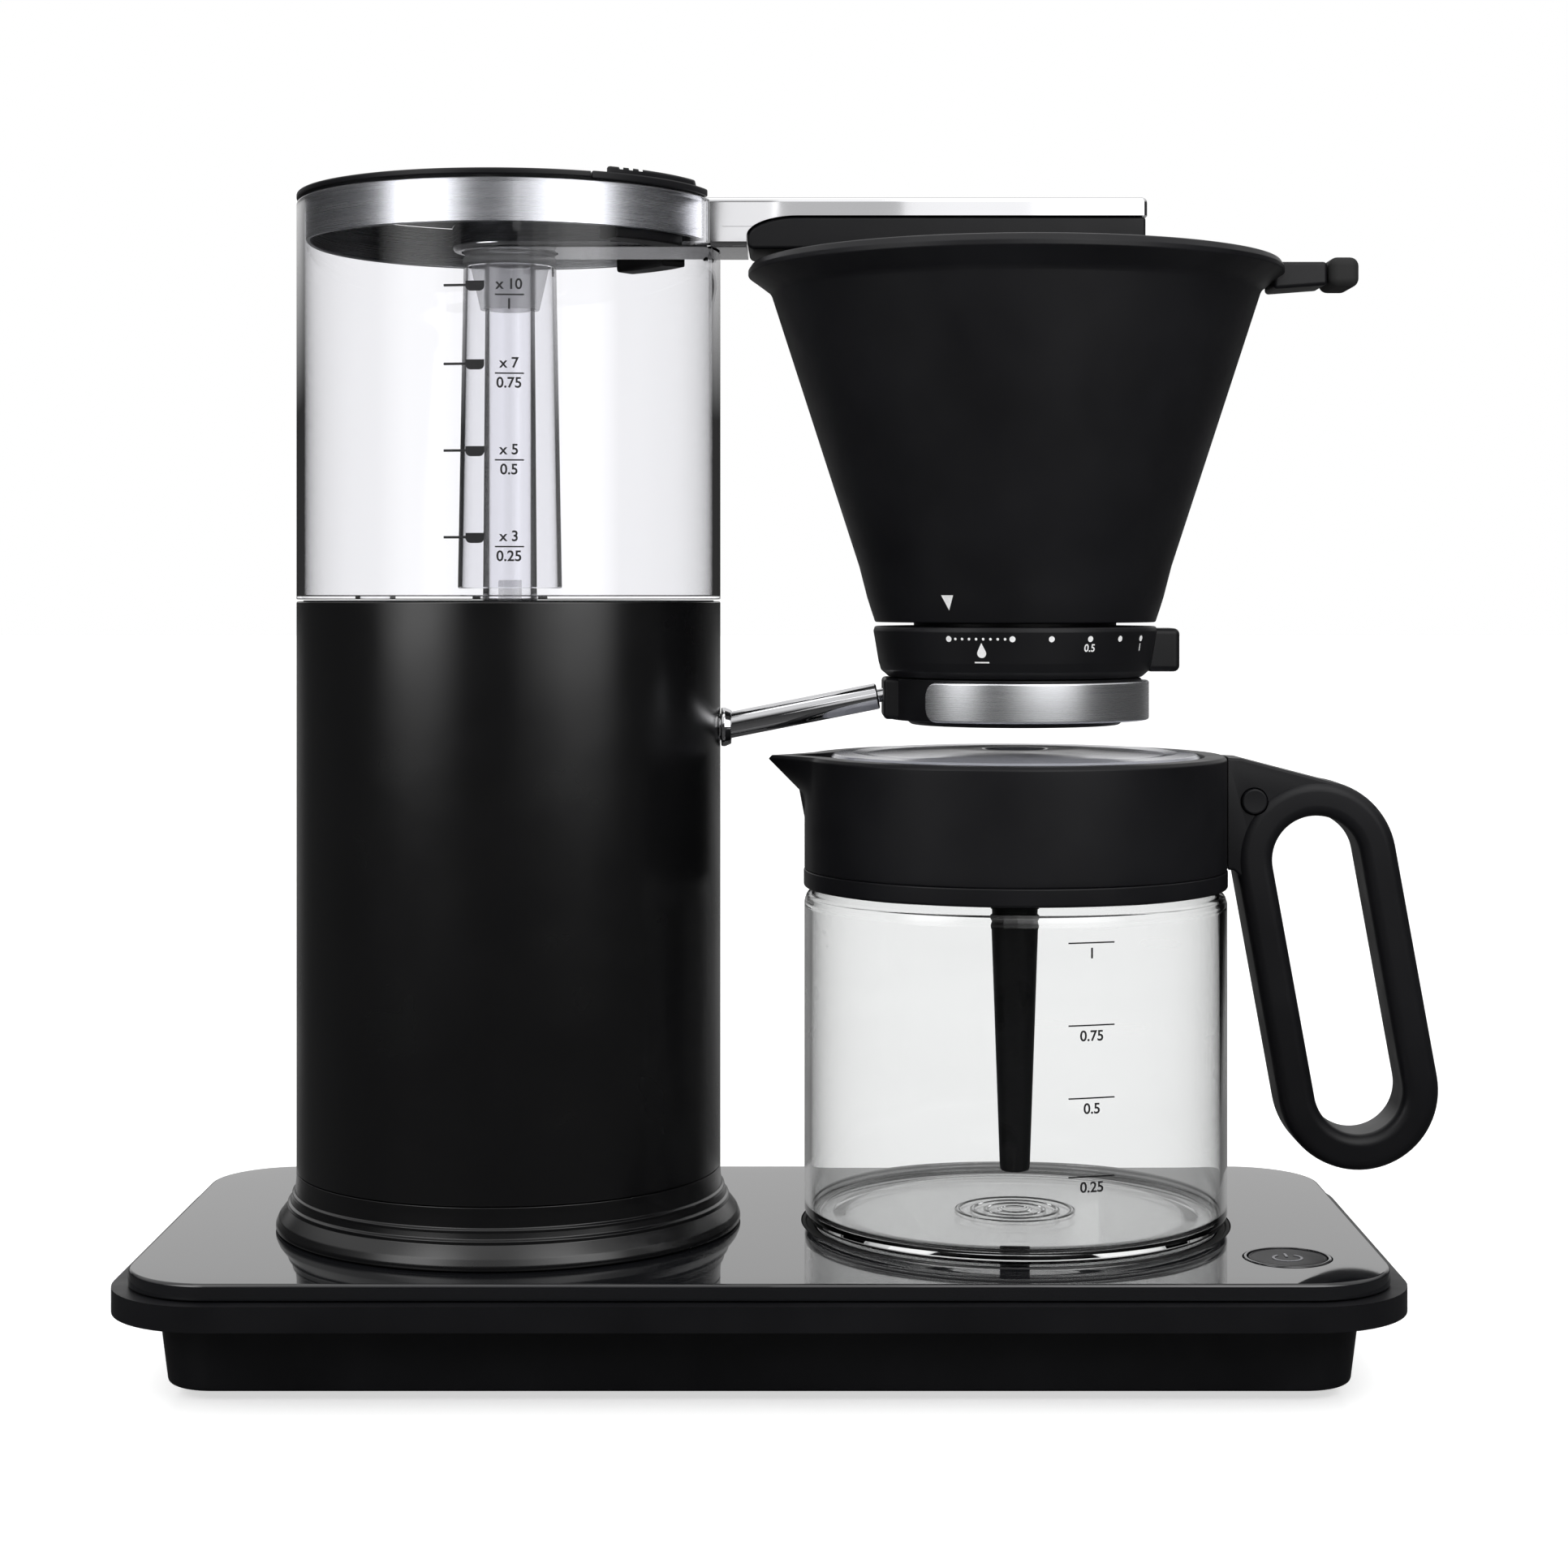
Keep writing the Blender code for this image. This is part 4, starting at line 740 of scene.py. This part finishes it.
def make_funnel():
    low, high = span_z("funnel")
    outline = [(0.0275, low), (0.0300, low), (0.0300, 0.2126), *CONE, (0.0772, 0.3138), (0.0792, 0.3152),
               (0.0792, 0.3166), (0.0780, 0.3184), (0.0765, high), (0.0737, high), (0.0707, 0.3110),
               (0.0440, 0.2285), (0.0415, 0.2160), (0.0275, 0.2151)]
    radii = [0, 0.0003, 0.0004, 0.0006, 0.002, 0.004, 0.008, 0.004, 0.0012, 0.0006, 0.0006, 0.001, 0.001,
             0.0008, 0.002, 0.004, 0.003, 0]
    cone = turned("cone", filleted(outline, radii, 4), JUG_AT, FINE)
    tab = block("tool", (JUG_X + 0.0755, -0.0090, 0.3106), (JUG_X + 0.0914, 0.0090, high))
    for vertex in tab.data.vertices:
        if vertex.co.z < 0.312 and vertex.co.x > JUG_X + 0.080:
            vertex.co.z += 0.0012
    soften(tab, 0.0012, 4)
    fuse(cone, settle(tab))
    stands_for(cone, "funnel", "housing_plastic", "funnel")
    grip_low, grip_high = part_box("funnel_grip")
    grip = block("grip", grip_low, grip_high, 0.0026, 6)
    stands_for(settle(grip), "funnel", "rubber", "funnel_grip")
    low, high = span_z("funnel_outlet")
    outlet = turned("outlet_cap", filleted([
        (0.0040, low), (0.0308, low), (0.0318, low + 0.0008), (0.0318, high), (0.0290, high),
        (0.0290, low + 0.0026), (0.0060, low + 0.0026), (0.0060, 0.1925), (0.0040, 0.1925)], 0.0004),
        JUG_AT, 96)
    stands_for(outlet, "funnel", "housing_plastic", "funnel_outlet")
    marker = flat_print("cone_marker", [(-0.0019, 0.0021), (0.0019, 0.0021), (0.0, -0.0022)])
    wrap(marker, JUG_AT, -30.0, 0.2184, cone_radius)
    stands_for(marker, "funnel", "housing_plastic", look="white_ink")


def ring_radius(height):
    """Outer radius of the drip stop ring at a height."""
    return 0.0405 + (0.0420 - 0.0405) * (height - 0.2010) / (0.2100 - 0.2010)


def make_drip_stop():
    low, high = span_z("drip_stop_ring")
    ring = turned("stop_ring", filleted([
        (0.0303, low), (0.0375, low), (0.0398, low + 0.0020), (0.0405, low + 0.0045), (0.0420, high - 0.0014),
        (0.0416, high), (0.0303, high)], [0, 0.0006, 0.001, 0.003, 0.0008, 0.0006, 0]), JUG_AT)
    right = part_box("drip_stop_ring")[1].x
    lever = block("tool", (JUG_X + 0.0380, -0.0075, 0.1980), (right, 0.0075, 0.2108), 0.0018, 5)
    fuse(ring, settle(lever))
    stands_for(ring, "drip_stop", "housing_plastic", "drip_stop_ring")
    dot_z, marks = 0.20806, []
    for azimuth in (-30.9, -5.1, 10.3, 26.8, 42.0, 56.4):
        marks.append(place_dot(0.00085, azimuth, dot_z))
    for index in range(1, 9):
        marks.append(place_dot(0.00038, -30.9 + 25.8 * index / 9, dot_z))
    for words, azimuth in (("0.5", 26.8), ("1", 56.4)):
        number = printed(words, 0.0030)
        wrap(number, JUG_AT, azimuth, 0.2054, ring_radius)
        marks.append(number)
    drop = flat_print("drip_icon", drop_outline(0.0013))
    wrap(drop, JUG_AT, -17.4, 0.2040, ring_radius)
    marks.append(drop)
    stop = flat_print("stop_icon", strip(-0.0021, 0.0021, 0.0002))
    wrap(stop, JUG_AT, -17.4, 0.2014, ring_radius)
    marks.append(stop)
    for mark in marks:
        stands_for(mark, "drip_stop", "housing_plastic", look="white_ink")


def drop_outline(radius):
    """A drop: a round foot under two straight sides."""
    return [(0.0, radius * 2.3)] + arc((0.0, 0.0), radius, 155, 385, 20)


# Printed marks

def strip(left, right, half):
    """Outline of a printed bar."""
    return [(left, -half), (right, -half), (right, half), (left, half)]


def flat_print(name, outline):
    """A mark drawn flat: x to the right, y up, z out of the surface."""
    piece = loft(name, [[(x, y, z) for x, y in outline] for z in (0.0, PRINT)])
    shape = bmesh.new()
    shape.from_mesh(piece.data)
    bmesh.ops.triangulate(shape, faces=[face for face in shape.faces if len(face.verts) > 4])
    shape.to_mesh(piece.data)
    shape.free()
    return piece


def place_dot(radius, azimuth, height):
    dot = flat_print("scale_dot", arc((0.0, 0.0), radius, 0, 345, 23))
    return wrap(dot, JUG_AT, azimuth, height, ring_radius)


def printed(words, height):
    """Numbers in the built-in font, centred, as a thin closed mesh."""
    curve = bpy.data.curves.new("mark", "FONT")
    curve.body, curve.size = words, height
    curve.align_x, curve.align_y = "CENTER", "CENTER"
    curve.extrude, curve.offset = PRINT / 2, height * 0.018
    text = bpy.data.objects.new("mark", curve)
    bpy.context.collection.objects.link(text)
    bpy.context.view_layer.update()
    mesh = bpy.data.meshes.new_from_object(text.evaluated_get(bpy.context.evaluated_depsgraph_get()))
    bpy.data.objects.remove(text, do_unlink=True)
    mesh.materials.clear()
    piece = bpy.data.objects.new("print_" + "".join(sign if sign.isalnum() else "_" for sign in words), mesh)
    bpy.context.collection.objects.link(piece)
    return piece


def wrap(piece, at, azimuth, height, radius_at):
    """Bend a flat mark round an upright axis. Azimuth is in degrees to the right of the front."""
    for vertex in piece.data.vertices:
        x, y, z = vertex.co
        radius = radius_at(height + y)
        turn = math.radians(azimuth) + x / radius
        reach = radius + 0.00003 + z
        vertex.co = (at[0] + reach * math.sin(turn), at[1] - reach * math.cos(turn), height + y)
    piece.data.update()
    return piece


def on_cylinder(height):
    return R


def azimuth_of(offset):
    """Azimuth on the tank or the jug of a point seen that far to the right of the axis."""
    return math.degrees(math.asin(offset / R))


def make_tank_scale():
    """Scoops and litres at four levels of the tank."""
    levels = ((0.3060, "x 10", "1"), (0.2843, "x 7", "0.75"), (0.2604, "x 5", "0.5"), (0.2365, "x 3", "0.25"))
    for height, scoops, litres in levels:
        bowl = [(0.0006, 0.0012), (0.0058, 0.0012)] + arc((0.0044, -0.0002), 0.0014, 0, -90, 6) \
            + arc((0.0020, -0.0002), 0.0014, -90, -180, 6)
        marks = [(flat_print("scoop_handle", strip(-0.0056, 0.0012, 0.00035)), -0.0065, height),
                 (flat_print("scoop_bowl", bowl), -0.0065, height),
                 (printed(scoops, 0.0041), 0.0061, height + 0.0002),
                 (flat_print("scale_bar", strip(-0.0040, 0.0040, 0.0002)), 0.0062, height - 0.0026),
                 (printed(litres, 0.0041), 0.0061, height - 0.0053)]
        for mark, offset, level in marks:
            wrap(mark, TANK_AT, azimuth_of(offset), level, on_cylinder)
            stands_for(mark, "root", "clear_tank", look="black_ink")


def make_jug_scale():
    for height, litres in ((0.1245, "1"), (0.1017, "0.75"), (0.0816, "0.5"), (0.0599, "0.25")):
        bar = flat_print("level_bar", strip(-0.0068, 0.0068, 0.00020))
        for mark, level in ((bar, height), (printed(litres, 0.0041), height - 0.0030)):
            wrap(mark, JUG_AT, azimuth_of(0.0169), level, on_cylinder)
            stands_for(mark, "jug", "jug_glass", look="black_ink")


# Jug

def make_jug_glass():
    low, high = span_z("jug_glass_foot")[0], span_z("jug_glass")[1]
    rings = []
    for radius in (0.0170, 0.0125, 0.0085, 0.0045):
        rings += [(radius + 0.0008, low + 0.0030), (radius, low + 0.0034), (radius - 0.0008, low + 0.0030)]
    glass = turned("glass", filleted([
        (0, low + 0.0006), (0.0500, low + 0.0006), (0.0540, low), (0.0590, low), (0.0615, low + 0.0012),
        (R, low + 0.0036), (R, 0.1300), (0.0618, 0.1322), (0.0592, 0.1340), (0.0592, high),
        (0.0570, high), (0.0570, 0.1335), (0.0598, 0.1310), (0.0603, 0.1285), (0.0605, low + 0.0052),
        (0.0596, low + 0.0036), (0.0575, low + 0.0030), *rings, (0, low + 0.0030)],
        [0, 0.01, 0.004, 0.002, 0.002, 0.002, 0.003, 0.002, 0.001, 0.0008, 0.0008, 0.001, 0.002, 0.003, 0.002,
         0.002, 0.002] + [0.0008] * len(rings) + [0], 4), JUG_AT, 192, angle=60)
    stands_for(glass, "jug", "jug_glass", "jug_glass", "jug_glass_foot")


def make_jug_collar():
    """Band turned in fine steps, its wall drawn out to a pointed spout on the tank's side."""
    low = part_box("jug_collar")[0].z
    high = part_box("jug_collar")[1].z
    reach = JUG_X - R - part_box("jug_collar")[0].x
    outer_wall = [(R, low + (high - 0.001 - low) * step / 16) for step in range(17)]
    inner_wall = [(0.0552 + 0.0008 * step / 5, 0.1700 + (high - 0.1700) * step / 5)
                  for step in range(5, -1, -1)]
    outline = filleted([(0.0596, low), *outer_wall, (0.0615, high), *inner_wall, (0.0552, 0.1675),
                        (0.0596, 0.1664)],
                       [0, 0.0006] + [0] * 15 + [0.0008, 0.0006, 0.0008] + [0] * 8, 3)
    collar = turned("collar", outline, steps=360)
    spout_low, half_width = 0.1612, 0.0165
    for vertex in collar.data.vertices:
        x, y, z = vertex.co
        if x > 0 or z < spout_low or abs(y) > half_width:
            continue
        rise = min(1.0, (z - spout_low) / (high - spout_low - 0.0012))
        across = 1.0 - abs(y) / half_width
        vertex.co.x -= reach * across ** 1.25 * rise
        vertex.co.y *= 1.0 - 0.25 * across * rise
    collar.data.transform(Matrix.Translation((JUG_X, 0, 0)))
    collar.data.set_sharp_from_angle(angle=math.radians(35))
    stands_for(collar, "jug", "housing_plastic", "jug_collar")
    low, high = span_z("jug_clamp_ring")[0], span_z("jug_collar")[0]
    ring = turned("clamp_band", filleted(band(0.0596, 0.0627, low, high), [0, 0.0008, 0.0004, 0], 4), JUG_AT)
    stands_for(ring, "jug", "housing_plastic", "jug_clamp_ring")


def make_jug_handle():
    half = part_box("jug_handle")[1].y
    top, bottom = (JUG_X + 0.0884, 0.1425), (JUG_X + 0.1007, 0.0747)
    outer_r, inner_r = 0.0236, 0.0130
    slant = math.degrees(math.atan2(bottom[0] - top[0], top[1] - bottom[1]))

    def extruded(name, outline, half_width, bevel, steps=5):
        piece = loft(name, [[(x, side * half_width, z) for x, z in outline] for side in (-1, 1)])
        soften(piece, bevel, steps, 50)
        return settle(piece)

    profile = filleted(band(inner_r, outer_r, -half, half), 0.0034, 6)
    sections = []
    for centre, start in ((top, 180 + slant), (bottom, slant)):
        for step in range(41):
            turn = math.radians(start - 180 * step / 40)
            sections.append([(centre[0] + reach * math.cos(turn), y, centre[1] + reach * math.sin(turn))
                             for reach, y in profile])
    loop = loft("jug_handle_loop", sections, closed=True)
    web = [(JUG_X + 0.0600, 0.1728), (JUG_X + 0.0660, 0.1725)] + arc(top, outer_r - 0.0002, 74, 40, 8)
    web += arc(top, 0.0175, 60, 190, 12) + [(JUG_X + 0.0658, 0.1378), (JUG_X + 0.0638, 0.1396),
                                            (JUG_X + 0.0600, 0.1398)]
    mount = extruded("jug_handle_mount", web, half - 0.0011, 0.0016, 4)
    screw = middle("handle_screw_cap")
    for part in (loop, mount):
        cut(part, rod("tool", (screw.x, -0.012, screw.z), (screw.x, -0.0080, screw.z),
                      plug(0.0041, 0.0040)))
        stands_for(part, "jug", "housing_plastic", "jug_handle")
    cut(mount, round_tool(JUG_AT, R + 0.0003, 0.12, 0.19, FINE))
    cap = rod("screw_cap", (screw.x, -half - 0.0003, screw.z), (screw.x, 0, screw.z), filleted([
        (0, 0.0004), (0.0033, 0.0002), (0.0037, 0.0005), (0.0037, 0.0015), (0, 0.0015)],
        [0, 0.0003, 0.0003, 0, 0]))
    stands_for(cap, "jug", "housing_plastic", "handle_screw_cap")


def make_jug_lid():
    low, high = span_z("jug_lid")
    lid = turned("jug_cover", filleted([
        (0.0060, low), (0.0546, low), (0.0546, 0.1726), (0.0536, 0.1736), (0.0480, 0.1740), (0.0440, 0.1736),
        (0.0400, 0.1740), (0.0200, high), (0.0100, high), (0.0060, high - 0.0015)],
        [0, 0.0004, 0.0006, 0.0008, 0.002, 0.002, 0.004, 0.008, 0.002, 0.0005], 4), JUG_AT)
    stands_for(lid, "jug_lid", "lid_plastic", "jug_lid")
    low, high = span_z("mixing_tube")
    tube = turned("stirring_tube", filleted([
        (0.0032, low), (0.0043, low + 0.0003), (0.0045, low + 0.0022), (0.0074, 0.1360), (0.0076, 0.1650),
        (0.0110, 0.1690), (0.0110, high), (0.0064, high), (0.0062, 0.1650), (0.0034, low + 0.0022)],
        [0.0004, 0.001, 0.004, 0.01, 0.004, 0.001, 0.0003, 0.001, 0.001, 0.001], 4), JUG_AT, 64)
    stands_for(tube, "jug_lid", "housing_plastic", "mixing_tube")


def dress_frame():
    """Give every CAD node that still shows its own material."""
    slots = {entry["node"]: entry["material_slot"] for entry in frame["record"]["subparts"]}
    for name, node in frame["nodes"].items():
        node.data.materials.clear()
        node.data.materials.append(LOOKS[slots[name]])


# Studio

def math_node(tree, operation, *values):
    """One math node whose inputs are sockets or plain numbers."""
    node = tree.nodes.new("ShaderNodeMath")
    node.operation = operation
    for socket, value in zip(node.inputs, values):
        if isinstance(value, (int, float)):
            socket.default_value = value
        else:
            tree.links.new(value, socket)
    return node.outputs["Value"]


def unturned(tree, path, limit):
    """1 for a ray that has passed through clear things at most, so glass shows the white studio."""
    turns = math_node(tree, "SUBTRACT", path.outputs["Ray Depth"], path.outputs["Transmission Depth"])
    return math_node(tree, "LESS_THAN", turns, limit)


def make_studio():
    scene = bpy.context.scene
    scene.view_settings.view_transform = "Standard"
    scene.view_settings.look = "None"
    bpy.ops.mesh.primitive_plane_add(size=30.0, location=(0, 0, 0))
    floor = bpy.context.object
    floor.name = "studio_floor"
    surface = Nodes("pale floor", (0.75, 0.75, 0.76), 0.30)
    surface.vary_roughness(surface.noise(3, 2.0), 0.25, 0.35)
    surface.set("Specular IOR Level", 0.3)
    surface.set("Emission Color", (1.0, 1.0, 1.0, 1.0))
    seen = surface.tree.nodes.new("ShaderNodeLightPath")
    direct = unturned(surface.tree, seen, 0.5)
    glow = math_node(surface.tree, "MULTIPLY", direct, 0.62)
    surface.link(glow, surface.shader.inputs["Emission Strength"])
    mirrored = math_node(surface.tree, "MULTIPLY", direct, 0.31)
    mirrored = math_node(surface.tree, "SUBTRACT", seen.outputs["Is Glossy Ray"], mirrored)
    mirrored = math_node(surface.tree, "MAXIMUM", mirrored, 0.0)
    tone = math_node(surface.tree, "MULTIPLY", mirrored, -0.71)
    tone = math_node(surface.tree, "ADD", tone, 0.75)
    surface.link(tone, surface.shader.inputs["Base Color"])
    floor.data.materials.append(surface.material)

    world = scene.world or bpy.data.worlds.new("studio")
    scene.world = world
    world.use_nodes = True
    tree = world.node_tree
    background = tree.nodes["Background"]
    coordinates = tree.nodes.new("ShaderNodeTexCoord")
    split = tree.nodes.new("ShaderNodeSeparateXYZ")
    tree.links.new(coordinates.outputs["Generated"], split.inputs["Vector"])

    def rising(axis, start, end, dim, bright):
        ramp = tree.nodes.new("ShaderNodeMapRange")
        for socket, value in (("From Min", start), ("From Max", end), ("To Min", dim), ("To Max", bright)):
            ramp.inputs[socket].default_value = value
        tree.links.new(split.outputs[axis], ramp.inputs["Value"])
        return ramp.outputs["Result"]

    seen = tree.nodes.new("ShaderNodeLightPath")
    behind = math_node(tree, "MULTIPLY", rising("Y", 0.70, 0.93, 0.03, 1.0),
                       rising("Z", 0.06, 0.17, 0.02, 1.0))
    around = math_node(tree, "MAXIMUM", behind, rising("Z", 0.25, 0.60, 0.03, 0.75))
    shown = math_node(tree, "MAXIMUM", around, unturned(tree, seen, 1.5))
    tree.links.new(shown, background.inputs["Strength"])
    background.inputs["Color"].default_value = (1.0, 1.0, 1.0, 1.0)

    def area(name, place, target, size, energy):
        lamp = bpy.data.lights.new(name, "AREA")
        lamp.shape, lamp.size, lamp.size_y, lamp.energy = "RECTANGLE", size[0], size[1], energy
        thing = bpy.data.objects.new(name, lamp)
        thing.location = place
        thing.rotation_euler = (Vector(target) - Vector(place)).to_track_quat("-Z", "Y").to_euler()
        bpy.context.collection.objects.link(thing)

    def softbox(name, place, target, size, energy, layers=(0.55, 0.85, 1.15, 1.45)):
        """Panels of rising width behind each other, so that the light fades out at its sides."""
        away = (Vector(place) - Vector(target)).normalized()
        for index, part in enumerate(layers):
            area(f"{name}_{index}", Vector(place) + 0.003 * index * away, target, (size[0] * part, size[1]),
                 energy * part / len(layers))

    softbox("left_softbox", (-0.425, -0.397, 0.545), (-0.070, -0.047, 0.545), (0.30, 0.71), 1.6)
    softbox("right_softbox", (0.264, -0.373, 0.545), (0.165, 0.117, 0.545), (0.39, 0.71), 1.9)
    area("arm_card", (-0.0215, -0.400, 0.390), (-0.0215, -0.0175, 0.335), (0.026, 0.050), 0.004)
    area("top_softbox", (0.0, -0.10, 1.40), (0, 0, 0.1), (1.2, 0.8), 2.5)

    camera = bpy.data.cameras.new("camera")
    camera.lens, camera.sensor_width = LENS, 36.0
    camera.shift_x, camera.shift_y = SHIFT_X, SHIFT_Y
    camera.clip_start = 0.01
    viewer = bpy.data.objects.new("camera", camera)
    viewer.location = (CAMERA_SIDE, -CAMERA_BACK, CAMERA_UP)
    viewer.rotation_euler = (math.radians(90), 0, 0)
    bpy.context.collection.objects.link(viewer)
    scene.camera = viewer


make_studio()
dress_frame()
for make in (make_base, make_hot_plate, make_button, make_button_spring, make_gland, make_tower, make_tank,
             make_collar, make_arm_covers, make_lid, make_arm, make_holder, make_funnel, make_drip_stop,
             make_tank_scale, make_jug_scale, make_jug_glass, make_jug_collar, make_jug_handle,
             make_jug_lid):
    make()
